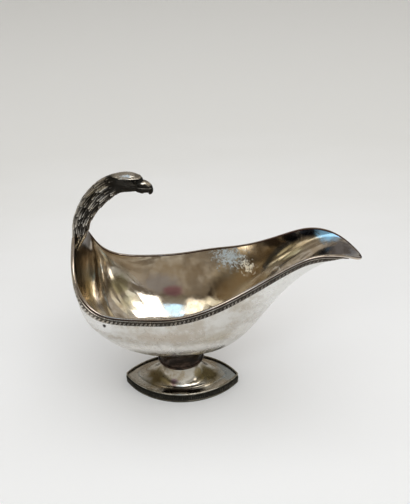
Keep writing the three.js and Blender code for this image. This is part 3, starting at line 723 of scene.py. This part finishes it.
def feathers(run, turn, length):
    """Height of the feathers over the neck, from 0 to 1, and how far each point is rubbed bright: the
    shafts and the raised edges are, the barbs between them aren't."""
    pitch = length / FEATHER_ROWS
    down = (length - run)[:, None] / pitch
    height = np.zeros_like(turn)
    bright = np.zeros_like(turn)
    first = np.floor(down).astype(int)
    for back in range(4):
        row = first - back
        for shift in (-1, 0, 1):
            place = turn * FEATHERS_ROUND + 0.5 * (row % 2)
            centre = np.round(place) + shift
            sway = 0.16 * np.sin(7.3 * row + 2.1 * centre)
            reach = FEATHER_COVER * (1 + 0.16 * np.sin(3.7 * row + 5.1 * centre))
            share = (down - row) / reach
            across = (place - centre - sway * share) * 2
            narrowing = np.clip(share - FEATHER_SHOULDER, 0, 1) / (1 - FEATHER_SHOULDER)
            half = FEATHER_HALF_WIDTH * np.sqrt(np.clip(1 - narrowing**2, 1e-6, 1))
            inside = (share >= 0) & (share < 1) & (np.abs(across) < half)
            edge = np.clip(1 - np.abs(across) / half, 0, 1)
            shaft = np.exp(-((across / SHAFT_WIDTH) ** 2)) * soft_step(0, 0.2, share)
            barb_place = BARBS_PER_ROW * share * reach + BARB_SLANT * np.abs(across)
            barbs = 0.5 + 0.5 * np.cos(2 * math.pi * barb_place)
            bulge = np.sqrt(np.clip(1 - (across / half) ** 2, 0, 1))
            lift = 0.16 + 0.54 * share + 0.20 * bulge + 0.14 * shaft
            lift -= 0.10 * barbs * soft_step(0.12, 0.3, edge) * (1 - shaft)
            lift *= soft_step(0, 0.10, edge) * 0.35 + 0.65
            rim = np.exp(-(((edge - 0.14) / 0.12) ** 2))
            shine = 0.8 + 0.2 * np.sin(5.3 * row + 2.9 * centre)
            worn = 0.6 * share * (0.9 * shaft + rim) + 0.5 * share * bulge**2
            rubbed = shine * (0.26 + worn - 0.16 * barbs)
            on_top = inside & (lift > height)
            bright = np.where(on_top, rubbed, bright)
            height = np.where(on_top, lift, height)
    return height, bright


def ridge(x, z, line, taper=1.5):
    """A soft ridge or groove along a line in the side view, 1 on the line; a higher taper gives it blunter
    ends."""
    (ax, az), (bx, bz), width = line[:3]
    length = (bx - ax) ** 2 + (bz - az) ** 2
    f = np.clip(((x - ax) * (bx - ax) + (z - az) * (bz - az)) / length, 0, 1)
    away = np.hypot(x - ax - f * (bx - ax), z - az - f * (bz - az))
    return np.exp(-((away / width) ** 2)) * np.clip(np.sin(math.pi * (0.12 + 0.76 * f)) * taper, 0, 1)


# The neck: feathers that thin out to a smooth bare throat low inside and to short feathers on the crown
neck, out, run, turn = swept(NECK_STATIONS, NECK_ROWS, NECK_COLUMNS)
length = run[-1] * FEATHERED_SHARE
share = (run / length)[:, None]
from_top = np.minimum(turn, 1 - turn)
plumage, rubbed = feathers(run, turn, length)
low_inside = soft_step(0.30, 0.42, from_top) * (1 - soft_step(0.18, 0.34, share))
cover = (1 - soft_step(0.9, 1.04, share)) * (1 - low_inside)
crown = soft_step(0.92, 1.06, share)

# The head: a face sunk below the brow, with socket, cheek, jaw and the bare skin before the eye
x, z = neck[..., 0], neck[..., 2]
flank = np.abs(out[..., 1])
(brow_x, brow_z), (brow_end_x, brow_end_z) = BROW[:2]
brow_line = brow_z + (x - brow_x) * (brow_end_z - brow_z) / (brow_end_x - brow_x)
face = soft_step(0, 1.0, brow_line - z) * soft_step(36, 43, x) * soft_step(0.12, 0.5, flank)
face *= (1 - soft_step(52.5, 56, x)) * (0.3 + 0.7 * soft_step(36.5, 40.5, z))
waver = 1.6 * np.sin(run * 0.7)[:, None] + 2 * np.sin(9 * turn)
down_hair = 0.5 + 0.5 * np.sin(2 * math.pi * turn * SHORT_FEATHERS_ROUND + waver)
short = crown * (1 - soft_step(44, 54, x)) * down_hair
brow = ridge(x, z, BROW, taper=3) * soft_step(0.1, 0.5, flank)
socket, cheek, jaw, lore = (ridge(x, z, line) * flank for line in (SOCKET, CHEEK, JAW, LORE))
lift = FEATHER_LIFT * (plumage - 0.85) * cover + SHORT_FEATHER_LIFT * short - CROWN_SINK * crown
lift += BROW[3] * brow + SOCKET[3] * socket + CHEEK[3] * cheek + LORE[3] * lore + JAW[3] * jaw
lift -= FACE_DEPTH * face
neck = neck + out * lift[..., None]

# How bright each part is: rubbed by the hand, with a painted highlight along the top of the neck and on the
# crown, and painted shade in the socket below the brow
over_brow = soft_step(-0.3, 0.6, z - brow_line) * soft_step(26, 38, x)
head = 0.2 + (0.42 + 0.6 * short) * over_brow + 0.4 * brow + 0.16 * cheek - 0.2 * socket + 0.08 * short
# Lighter along the top of the neck: partly wear, partly a painted highlight
on_top = (1 - soft_step(0.05, 0.24, from_top)) * (1 - crown)
marks = np.clip(rubbed * (1 - crown) + head * crown + 0.5 * low_inside + 0.34 * on_top * plumage, 0, 1)

# The beak: hooked, with a swollen skin at its root, a nostril and a cut mouth under a raised lip
beak, beak_out, beak_run, _ = swept(BEAK_STATIONS, BEAK_ROWS, BEAK_COLUMNS)
x, z = beak[..., 0], beak[..., 2]
beak_side = soft_step(0.2, 0.6, np.abs(beak_out[..., 1]))
cut, lip, nostril = (ridge(x, z, line, taper=3) * beak_side for line in (MOUTH, LIP, NOSTRIL))
cere = 1 - soft_step(*CERE_SHARE, beak_run / beak_run[-1])[:, None]
swelling = CERE_LIFT * cere + MOUTH[3] * cut + LIP[3] * lip + NOSTRIL[3] * nostril
beak = beak + beak_out * swelling[..., None]
# A painted highlight along the top ridge of the beak
beak_ridge_highlight = ridge(x, z, BEAK_RIDGE, taper=3)
beak_marks = np.clip(0.3 + 0.65 * beak_ridge_highlight + 0.35 * lip - 0.5 * cut - 0.4 * nostril, 0, 1)


def eyeball(side):
    """A small round eye with a ringed pupil, half sunk in the socket."""
    a = math.pi * (0.02 + 0.96 * np.arange(EYE_RINGS + 1) / EYE_RINGS)[:, None]
    b = 2 * math.pi * np.arange(EYE_COLUMNS)[None] / EYE_COLUMNS
    dent = PUPIL_GROOVE * np.exp(-(((a - PUPIL_RING) / 0.12) ** 2)) + 0 * b
    radius = EYE_RADIUS - dent
    x = EYE_PLACE[0] + radius * np.sin(a) * np.cos(b)
    y = side * (EYE_OUT + radius * np.cos(a))
    z = EYE_PLACE[1] + radius * np.sin(a) * np.sin(b)
    return np.stack([x, y, z], -1), 0.3 - 2 * dent


def boolean(mesh, operation, *tools):
    """The mesh joined with, or cut down to, the tools."""
    scene = bpy.context.scene.collection
    whole = bpy.data.objects.new("whole", mesh)
    scene.objects.link(whole)
    others = [bpy.data.objects.new("tool", tool) for tool in tools]
    for other in others:
        scene.objects.link(other)
        step = whole.modifiers.new("step", "BOOLEAN")
        step.operation = operation
        step.solver = "MANIFOLD"
        step.object = other
    ready = whole.evaluated_get(bpy.context.evaluated_depsgraph_get())
    result = bpy.data.meshes.new_from_object(ready)
    for helper in (whole, *others):
        bpy.data.objects.remove(helper)
    return result


def at_tongue(rings):
    """Moves the handle's rings on to the top of the bowl's tongue, from which they are measured."""
    return rings + (tongue_top[0], 0, tongue_top[2])


neck_mesh = build_mesh("neck", at_tongue(neck), marks=marks, sharp=180)
beak_mesh = build_mesh("beak", at_tongue(beak), marks=beak_marks, sharp=180)
eyes = []
for eye_rings, eye_marks in (eyeball(1), eyeball(-1)):
    eyes.append(build_mesh("eye", at_tongue(eye_rings), marks=eye_marks, sharp=180))
casting = boolean(neck_mesh, "UNION", beak_mesh, *eyes)
silver_cast = rolled_silver(
    "silver_cast",
    bright=(0.66, 0.63, 0.58),
    dark=(0.022, 0.02, 0.017),
    roughness=(0.16, 0.36),
    warmth=0.3,
)
for side, hand in ((1, "left"), (-1, "right")):
    end = [(0, CUT_LOW), (0, CUT_HIGH), (CUT_WIDE, CUT_HIGH), (CUT_WIDE, CUT_LOW)]
    corners = [[(along, side * wide, high) for wide, high in end] for along in CUT_ALONG]
    box = build_mesh("box", at_tongue(np.array(corners, float)))
    half = boolean(casting.copy(), "INTERSECT", box)
    half.set_sharp_from_angle(angle=math.radians(75))
    half.name = "handle_half_" + hand
    show(half.name, half, [silver_cast], "silver_oxidised", "handle_casting_" + hand)

# Foot collar
# A turned ring of silver that carries the bowl: a bead below and a hollow waist above, its top edge
# fitted to the hull. The collar is painted nearly black, for tarnish and as a painted shade under the bowl.
COLLAR_FOOT = 27.3
COLLAR_BEAD_RADIUS = 19.6
COLLAR_WAIST_RADIUS = 18.2
COLLAR_TOP_RADIUS = 20.6
COLLAR_BORE_RADIUS = 13.5
COLLAR_BEAD_HEIGHT = 2.4
COLLAR_BEAD_STEPS = 12
COLLAR_WAIST_STEPS = 20
COLLAR_FLARE = 2.6
COLLAR_STEPS = 192
COLLAR_GAP = 0.02

bowl_points = [vertex.co for vertex in bowl_mesh.vertices]
bowl_faces = [face.vertices for face in bowl_mesh.polygons]
hull_tree = BVHTree.FromPolygons(bowl_points, bowl_faces)


def under_hull(x, y):
    """Height of the hull's outer face over a point, in millimetres."""
    hit = hull_tree.ray_cast(Vector(in_place((x, y, 0))), Vector((0, 0, 1)))
    return 1000 * hit[0].z


collar_rings = []
for k in range(COLLAR_STEPS):
    a = 2 * math.pi * k / COLLAR_STEPS
    c, s = math.cos(a), math.sin(a)
    top = under_hull(COLLAR_TOP_RADIUS * c, COLLAR_TOP_RADIUS * s) - COLLAR_GAP
    inside_top = under_hull(COLLAR_BORE_RADIUS * c, COLLAR_BORE_RADIUS * s) - COLLAR_GAP
    section = []
    bead = COLLAR_BEAD_HEIGHT / 2
    for i in range(COLLAR_BEAD_STEPS + 1):
        b = -math.pi / 2 + math.pi * i / COLLAR_BEAD_STEPS
        radius = COLLAR_BEAD_RADIUS - bead + bead * math.cos(b)
        section.append((radius, COLLAR_FOOT + bead + bead * math.sin(b)))
    waist_foot = COLLAR_FOOT + COLLAR_BEAD_HEIGHT
    for i in range(1, COLLAR_WAIST_STEPS + 1):
        f = i / COLLAR_WAIST_STEPS
        radius = COLLAR_WAIST_RADIUS + (COLLAR_TOP_RADIUS - COLLAR_WAIST_RADIUS) * f**COLLAR_FLARE
        section.append((radius, waist_foot + (top - waist_foot) * f))
    section.append((COLLAR_BORE_RADIUS, inside_top))
    section.append((COLLAR_BORE_RADIUS, (inside_top + COLLAR_FOOT) / 2))
    section.append((COLLAR_BORE_RADIUS, COLLAR_FOOT))
    collar_rings.append([(r * c, r * s, z) for r, z in section])
# Nearly black: tarnish, and painted shade under the bowl
silver_tarnish_and_shade = worn_silver(
    "silver_tarnish_and_shade",
    bright=(0.085, 0.058, 0.044),
    stain=(0.016, 0.012, 0.009),
    stain_size=0.015,
    stained=(0.40, 0.56),
    roughness=(0.10, 0.24),
    waviness=0.00003,
)
collar = build_mesh("collar_turned", collar_rings, closed=True)
show("collar_turned", collar, [silver_tarnish_and_shade], "silver", "foot_collar")

# Foot
# One sheet raised into a pointed oval plate, an oval dome and a hollow neck. Brown stains lie along the
# dome, with olive brown patches at its ends that are painted reflections, and a painted shade and
# painted highlights lie low in front of it; the plate has a bluish tarnish.
FOOT_FLOOR = 1.8
BORDER_THICKNESS = 1.6
PLATE_TOP = 7.2
PLATE_HOLLOW = 0.5
STEP_HEIGHT = 1.9
NECK_TOP = 27.3
PEDESTAL_SHEET = 1.1
OUTLINE_STEPS = 288
SHARPEST_TIP = 0.4
# Outlines: half length, half width and radius of the tips
FOOT_OUTLINE = (48.5, 28, 3)
PLATE_OUTLINE = (47, 26.5, 1.6)
STEP_OUTLINE = (38.5, 21.5, 4)
DOME_OUTLINE = (36, 20, 6)
NECK_OUTLINE = (15.2, 15.2, 7.6)
# The plate's edge from its foot upwards: how far in each ring lies, and how far below the top
PLATE_EDGE = ((0, PLATE_TOP - FOOT_FLOOR), (0, 0.4), (0.15, 0.12), (0.5, 0))


def navette(outline, inset, normals):
    """Points of a pointed oval of two arcs with rounded tips, drawn in by inset, by the direction its edge
    faces there."""
    tip_radius = max(outline[2] - inset, SHARPEST_TIP)
    length, width = (half - inset - tip_radius for half in outline[:2])
    arc = (length**2 + width**2) / (2 * width)
    reach = math.asin(min(1, length / arc))
    sx, cy = np.sin(normals), np.cos(normals)
    on_arc = np.arccos(np.clip(np.abs(cy), 0, 1)) <= reach + 1e-9
    x = np.where(on_arc, sx * (arc + tip_radius), np.sign(sx) * length + sx * tip_radius)
    nearer = np.where(cy >= 0, arc - width, width - arc)
    y = np.where(on_arc, cy * (arc + tip_radius) - nearer, cy * tip_radius)
    return np.stack([x, y], -1)


def even_normals(count, start=0.0, end=2 * math.pi):
    """Edge directions that stand an even way apart along the foot's outline, and its length."""
    normals = np.linspace(start, end, 20001)
    outline = navette(FOOT_OUTLINE, 0, normals)
    run = np.concatenate([[0], np.cumsum(np.linalg.norm(np.diff(outline, axis=0), axis=1))])
    return np.interp(np.arange(count) / count * run[-1], run, normals), run[-1]


def level_ring(outline, z):
    """An outline laid level at a height."""
    return np.column_stack([outline, np.full(len(outline), z)])


def pedestal_ring(outline, z, inset=0.0):
    """A level ring of the pedestal, drawn in by inset."""
    around = np.arange(OUTLINE_STEPS) * 2 * math.pi / OUTLINE_STEPS
    return level_ring(navette(outline, inset, around), z)


def part_way(first, last, f):
    """The outline a share f of the way from the first to the last."""
    return tuple(a + (b - a) * f for a, b in zip(first, last))


# Upper face, from the plate's edge inwards: outline and height of each ring
top_rings = []
length, width, tip = PLATE_OUTLINE
for inset, drop in PLATE_EDGE:
    top_rings.append(((length - inset, width - inset, tip), PLATE_TOP - drop))
flat_outline = top_rings[-1][0]
for f in np.linspace(0.12, 1, 12):
    top_rings.append((part_way(flat_outline, STEP_OUTLINE, f), PLATE_TOP + PLATE_HOLLOW * f**2))
step_foot = PLATE_TOP + PLATE_HOLLOW
for f in np.linspace(0.1, 1, 10):
    z = step_foot + STEP_HEIGHT * math.sin(f * math.pi / 2)
    top_rings.append((part_way(STEP_OUTLINE, DOME_OUTLINE, f), z))
cove_foot = step_foot + STEP_HEIGHT
for f in np.linspace(0.02, 1, 40):
    length, width, _ = part_way(NECK_OUTLINE, DOME_OUTLINE, 1 - math.sin(f * math.pi / 2))
    tip = part_way(DOME_OUTLINE, NECK_OUTLINE, f)[2]
    rise = 1 - math.cos(f * math.pi / 2)
    top_rings.append(((length, width, tip), cove_foot + (NECK_TOP - cove_foot) * rise))
shell = [pedestal_ring(*ring) for ring in top_rings]

# Under face: each ring set back square to the sheet, and the lowest one only inwards
under = [pedestal_ring(*top_rings[0], PEDESTAL_SHEET)]
for k in range(1, len(shell)):
    stretch = shell[min(k + 1, len(shell) - 1)] - shell[k - 1]
    run = np.linalg.norm(stretch[:, :2], axis=1).mean()
    rise = stretch[:, 2].mean()
    slant = math.hypot(run, rise)
    outline, z = top_rings[k]
    z -= PEDESTAL_SHEET * run / slant
    under.append(pedestal_ring(outline, z, PEDESTAL_SHEET * rise / slant))
FOOT_STAINS_AND_PAINTED_LIGHT = [
    # Olive brown at both ends of the dome, painted reflections
    ((-22, -9, 12), (13, 9, 7), (0.13, 0.10, 0.045), 0.95, 0),
    ((23, -5, 13), (13, 10, 8), (0.13, 0.105, 0.045), 0.95, 0),
    ((14, -9, 18), (4, 4, 5), (0.25, 0.20, 0.10), 0.8, 0),
    ((-13, -14, 13), (6, 5, 4), (0.24, 0.20, 0.10), 0.7, 0),
    # Bluish right end of the plate, clean left end, a painted shade in front of the dome and a painted
    # highlight along the plate's front edge
    ((40, 7, 7), (14, 16, 4), (0.38, 0.43, 0.46), 0.9, 0),
    ((-37, -5, 8), (13, 13, 3), (0.62, 0.62, 0.59), 0.85, 0),
    ((2, -21.4, 8.4), (20, 4.4, 4.2), (0.04, 0.03, 0.022), 0.97, 0),
    ((0, -26.5, 7.4), (34, 2.6, 1.6), (0.72, 0.68, 0.60), 0.85, 0),
    # A small reddish patch and a bright one low on the dome, painted reflections of a window
    ((-5, -16.8, 12.5), (3.4, 3, 3.4), (0.21, 0.13, 0.15), 0.95, 0),
    ((2, -18, 11.5), (6, 2.5, 3), (0.95, 0.92, 0.85), 0.8, 0),
]
silver_foot = worn_silver(
    "silver_foot",
    bright=(0.52, 0.49, 0.43),
    stain=(0.38, 0.32, 0.23),
    stain_size=0.02,
    stained=(0.42, 0.60),
    roughness=(0.10, 0.28),
    waviness=0.00006,
    spots=0.6,
    stains_and_painted_light=FOOT_STAINS_AND_PAINTED_LIGHT,
)
pedestal = build_mesh("foot_raised", np.array(shell + under[::-1]), closed=True, sharp=50)
show("foot_raised", pedestal, [silver_foot], "silver", "foot_pedestal")

# Foot wires
# Two drawn silver wires: a fine round one soldered on the edge of the plate, and a flat one under the
# border, on which the boat stands and which is coloured darker.
THREAD_DIAMETER = 1.5
THREAD_STEPS = 12
BASE_WIRE_HEIGHT = 1.7
BASE_WIRE_WIDTH = 3.2
BASE_WIRE_EDGE = ((0.3, 0), (0.05, 0.25), (0, 0.6), (0, 1.1), (0.05, 1.45), (0.3, BASE_WIRE_HEIGHT))

silver_edge = worn_silver(
    "silver_edge",
    bright=(0.55, 0.52, 0.46),
    stain=(0.20, 0.18, 0.13),
    stain_size=0.012,
    stained=(0.40, 0.62),
    roughness=(0.14, 0.34),
    waviness=0.00003,
)
around = even_normals(OUTLINE_STEPS)[0]
thread_radius = THREAD_DIAMETER / 2
thread_rings = []
for k in range(THREAD_STEPS):
    a = 2 * math.pi * k / THREAD_STEPS
    inset = BORDER_THICKNESS / 2 - thread_radius * math.cos(a)
    z = PLATE_TOP + 0.1 + thread_radius + thread_radius * math.sin(a)
    thread_rings.append(level_ring(navette(FOOT_OUTLINE, inset, around), z))
thread = build_mesh("thread_wire_drawn", thread_rings, closed=True, sharp=60)
show("thread_wire_drawn", thread, [silver_edge], "silver", "foot_thread_wire")
base_rings = []
for inset, z in (*BASE_WIRE_EDGE, (BASE_WIRE_WIDTH, BASE_WIRE_HEIGHT), (BASE_WIRE_WIDTH, 0)):
    base_rings.append(level_ring(navette(FOOT_OUTLINE, inset, around), z))
base_wire = build_mesh("base_wire_drawn", base_rings, closed=True, sharp=60)
silver_low = worn_silver(
    "silver_low",
    bright=(0.17, 0.16, 0.13),
    stain=(0.05, 0.047, 0.037),
    stain_size=0.012,
    stained=(0.40, 0.62),
    roughness=(0.16, 0.36),
    waviness=0.00003,
)
show("base_wire_drawn", base_wire, [silver_low], "silver", "foot_base_wire")

# Foot borders
# Two strips of die-rolled silver with small leaves, soldered round the edge of the foot and mitred at its
# two points. They are almost black, because polish only touches the tops of the leaves.
BORDER_HEIGHT = 5.5
BORDER_FOOT = FOOT_FLOOR - 0.1
BORDER_PITCH = 1.9
BORDER_GROUND = 0.9
BORDER_RELIEF = 0.65
BORDER_BULGE = 0.5
STEPS_PER_BORDER_LEAF = 8
STEPS_ACROSS_BORDER = 25
BORDER_FILLETS = ((0.07, 0.07, 0.7), (0.94, 0.06, 0.7))
BORDER_LEAVES = (0.16, 0.88)

silver_border = rolled_silver(
    "silver_border",
    bright=(0.33, 0.31, 0.27),
    dark=(0.025, 0.024, 0.019),
    roughness=(0.2, 0.5),
    rubbed_from=1.12,
)
for side, hand in ((1, "left"), (-1, "right")):
    start = -math.pi / 2 if side > 0 else math.pi / 2
    length = even_normals(2, start, start + math.pi)[1]
    count = round(length / BORDER_PITCH) * STEPS_PER_BORDER_LEAF
    facing = np.append(even_normals(count, start, start + math.pi)[0], start + math.pi)
    across = np.linspace(0, 1, STEPS_ACROSS_BORDER)
    leaves = np.arange(count + 1)[:, None] / STEPS_PER_BORDER_LEAF
    grid = np.broadcast_arrays(across[None], leaves)
    relief = leaf_strip(*grid, BORDER_FILLETS, BORDER_LEAVES)
    rings = []
    for j, share in enumerate(across):
        ground = BORDER_GROUND - BORDER_BULGE * math.sin(math.pi * share) ** 0.7
        insets = ground - BORDER_RELIEF * relief[:, j]
        face = [navette(FOOT_OUTLINE, inset, facing[k : k + 1])[0] for k, inset in enumerate(insets)]
        rings.append(level_ring(np.array(face), BORDER_FOOT + BORDER_HEIGHT * (1 - share)))
    for share in (1, 0.5, 0):
        back = navette(FOOT_OUTLINE, BORDER_THICKNESS, facing)
        rings.append(level_ring(back, BORDER_FOOT + BORDER_HEIGHT * (1 - share)))
    marks = np.concatenate([relief, np.zeros((count + 1, 3))], 1)
    rings = np.array(rings).transpose(1, 0, 2)
    mesh = build_mesh("foot_border_rolled_" + hand, rings, marks=marks, sharp=60)
    show("foot_border_rolled_" + hand, mesh, [silver_border], "silver_oxidised", "foot_border_" + hand)

# Studio
# A pale paper floor that sweeps up to a low wall all round, in a warm dim room with soft oblong lamps,
# which show in the silver as panes. The lamps, the near wall and a dark cloth are set for the silver:
# the near wall never shows in it, and the cloth, which darkens the low edges, shows nowhere else.
FLOOR_COLOUR = (0.86, 0.882, 0.918)
FAR_FLOOR_PAINTED_SHADE = (0.77, 0.785, 0.795)
FLOOR_RADIUS = 2.3
SWEEP_RADIUS = 0.7
WALL_HEIGHT = 1.0
STUDIO_STEPS = 96
ROOM_BACK = (0.42, 0.375, 0.32)
ROOM_FRONT = (0.15, 0.125, 0.085)
ROOM_HIGH = (0.50, 0.47, 0.42)
ROOM_DARK = (0.14, 0.11, 0.08)
ROOM_SIDE = (49, 71)
CURTAIN_DISTANCE = 0.78
CURTAIN_HEIGHT = 0.16
CURTAIN_TURNS = range(50, 72)
CURTAIN_COLOUR = (0.03, 0.028, 0.026)
CURTAIN_FOOT = 0.001
SWEEP_STEPS = 12
LAMP_DISTANCE = 2.4
LAMP_CENTRE = 0.1
DAYLIGHT = (1.0, 0.98, 0.94)
PANE_LIGHT = (1.0, 0.98, 0.84)

# The floor is painted darker and warmer farther from the boat, a painted fall-off of the light
paper, tree, shader, where = new_material("pale_paper")
cloud = noise_of(tree, where, 5, 3, stretch=(0.6, 1.6, 1))
painted_falloff = between(tree, sum_of(tree, (length_of(tree, where), 1.0), (cloud, 0.25)), 0.30, 0.72)
tone = blend_colours(tree, painted_falloff, FLOOR_COLOUR, FAR_FLOOR_PAINTED_SHADE)
tree.links.new(tone, shader.inputs["Base Color"])
cloth, _, shader, _ = new_material("dark_cloth")
shader.inputs["Base Color"].default_value = (*CURTAIN_COLOUR, 1)


def stage_piece(name, rings, turns, material):
    """A piece of the studio swept round the boat: rings of a radius and a height, and turns in steps of
    the studio's circle. A single ring makes a flat disc."""
    angles = [2 * math.pi * k / STUDIO_STEPS for k in turns]
    points = [(r * math.cos(a), r * math.sin(a), z) for r, z in rings for a in angles]
    n = len(angles)
    faces = [
        (i * n + k, i * n + k + 1, (i + 1) * n + k + 1, (i + 1) * n + k)
        for i in range(len(rings) - 1)
        for k in range(n - 1)
    ]
    mesh = bpy.data.meshes.new(name)
    mesh.from_pydata(points, [], faces or [tuple(range(n))])
    mesh.polygons.foreach_set("use_smooth", [True] * len(mesh.polygons))
    mesh.materials.append(material)
    piece = bpy.data.objects.new(name, mesh)
    bpy.context.scene.collection.objects.link(piece)
    return piece


stage_piece("studio_floor", [(FLOOR_RADIUS, 0)], range(STUDIO_STEPS), paper)
wall_rings = []
for k in range(SWEEP_STEPS + 1):
    a = math.pi / 2 * k / SWEEP_STEPS
    wall_rings.append((FLOOR_RADIUS + SWEEP_RADIUS * math.sin(a), SWEEP_RADIUS * (1 - math.cos(a))))
wall_rings.append((FLOOR_RADIUS + SWEEP_RADIUS, WALL_HEIGHT))
stage_piece("studio_wall", wall_rings, range(ROOM_SIDE[1], ROOM_SIDE[0] + STUDIO_STEPS + 1), paper)
near_wall = stage_piece("studio_near_wall", wall_rings, range(ROOM_SIDE[0], ROOM_SIDE[1] + 1), paper)
near_wall.visible_glossy = False
curtain_rings = [(CURTAIN_DISTANCE, CURTAIN_FOOT), (CURTAIN_DISTANCE, CURTAIN_HEIGHT)]
curtain = stage_piece("dark_curtain", curtain_rings, CURTAIN_TURNS, cloth)
curtain.visible_camera = False
curtain.visible_diffuse = False
curtain.visible_shadow = False

world = bpy.data.worlds.new("studio")
world.use_nodes = True
tree = world.node_tree
around_us = tree.nodes.new("ShaderNodeTexCoord").outputs["Generated"]
upwards = tree.nodes.new("ShaderNodeSeparateXYZ")
tree.links.new(around_us, upwards.inputs[0])
height = between(tree, upwards.outputs["Z"], 0.3, 0.98)
side = between(tree, upwards.outputs["Y"], -0.5, 0.3)
room = blend_colours(tree, side, ROOM_FRONT, ROOM_BACK)
room = blend_colours(tree, height, room, ROOM_HIGH)
dark_places = noise_of(tree, around_us, 2.6, 4, stretch=(1, 1, 0.8), distortion=1.2)
room = blend_colours(tree, between(tree, dark_places, 0.50, 0.56, 0, 0.75), room, ROOM_DARK)
tree.links.new(room, tree.nodes["Background"].inputs["Color"])
tree.nodes["Background"].inputs["Strength"].default_value = 1.0
bpy.context.scene.world = world


def window(name, turn, height, width, tall, brightness, colour, tilt=0, mirrored=True):
    """A soft rectangular lamp at a turn round the boat from its left side and a height over it, both in
    degrees, like its width, how tall it looks and its tilt; brightness 1 shows as white. One that isn't
    mirrored lights the scene without showing in the silver."""
    turn, height = math.radians(turn), math.radians(height)
    place = Vector((math.sin(turn) * math.cos(height), math.cos(turn) * math.cos(height), math.sin(height)))
    light = bpy.data.lights.new(name, "AREA")
    light.shape = "RECTANGLE"
    light.size = 2 * LAMP_DISTANCE * math.tan(math.radians(width / 2))
    light.size_y = 2 * LAMP_DISTANCE * math.tan(math.radians(tall / 2))
    light.energy = brightness * math.pi * light.size * light.size_y
    light.color = colour
    holder = bpy.data.objects.new(name, light)
    bpy.context.scene.collection.objects.link(holder)
    holder.location = place * LAMP_DISTANCE + Vector((0, 0, LAMP_CENTRE))
    aim = (-place).to_track_quat("-Z", "Y").to_matrix() @ Matrix.Rotation(math.radians(tilt), 3, "Z")
    holder.rotation_euler = aim.to_euler()
    holder.visible_camera = False
    holder.visible_glossy = mirrored


window("window_left_low", 130, 55, 11, 12, 3.5, DAYLIGHT)
window("window_left", 149, 50, 11.5, 22, 3.5, DAYLIGHT)
window("window_middle", 168, 43, 12.5, 34, 3.5, DAYLIGHT)
window("window_sky", 187, 47, 13, 21, 1.8, (0.42, 0.70, 1.0))
window("window_right", 206, 38, 14, 24, 1.7, (1.0, 0.95, 0.84))
window("window_right_low", 223, 22, 15, 13, 0.7, (1.0, 0.92, 0.72))
window("window_low", 131, 14, 11, 13, 1.8, (1.0, 0.93, 0.82))
window("olive_left", 104, 37, 9, 24, 0.42, (1.0, 0.92, 0.68), 18)
window("olive_middle", 121, 36, 8, 22, 0.42, (1.0, 0.92, 0.70), -16)
window("pane_left", 135, 43, 8, 12, 0.62, PANE_LIGHT, 12)
window("pane_right", 150, 33, 12, 11, 0.62, PANE_LIGHT, -14)
window("glow_low", 226, 5, 10, 8, 0.45, (1.0, 0.90, 0.62), 12)
window("glow_upright", 238, 17, 4, 26, 0.55, (1.0, 0.94, 0.76), -8)
window("glow_olive", 248, 26, 12, 14, 0.40, (0.95, 1.0, 0.78), 20)
window("glow_small", 241, 14, 5, 6, 1.2, (1.0, 0.92, 0.74))
window("glow_warm", 215, 30, 8, 14, 0.36, (1.0, 0.92, 0.70))
window("overhead", 0, 88, 60, 60, 1.33, (1.0, 1.0, 1.0), mirrored=False)
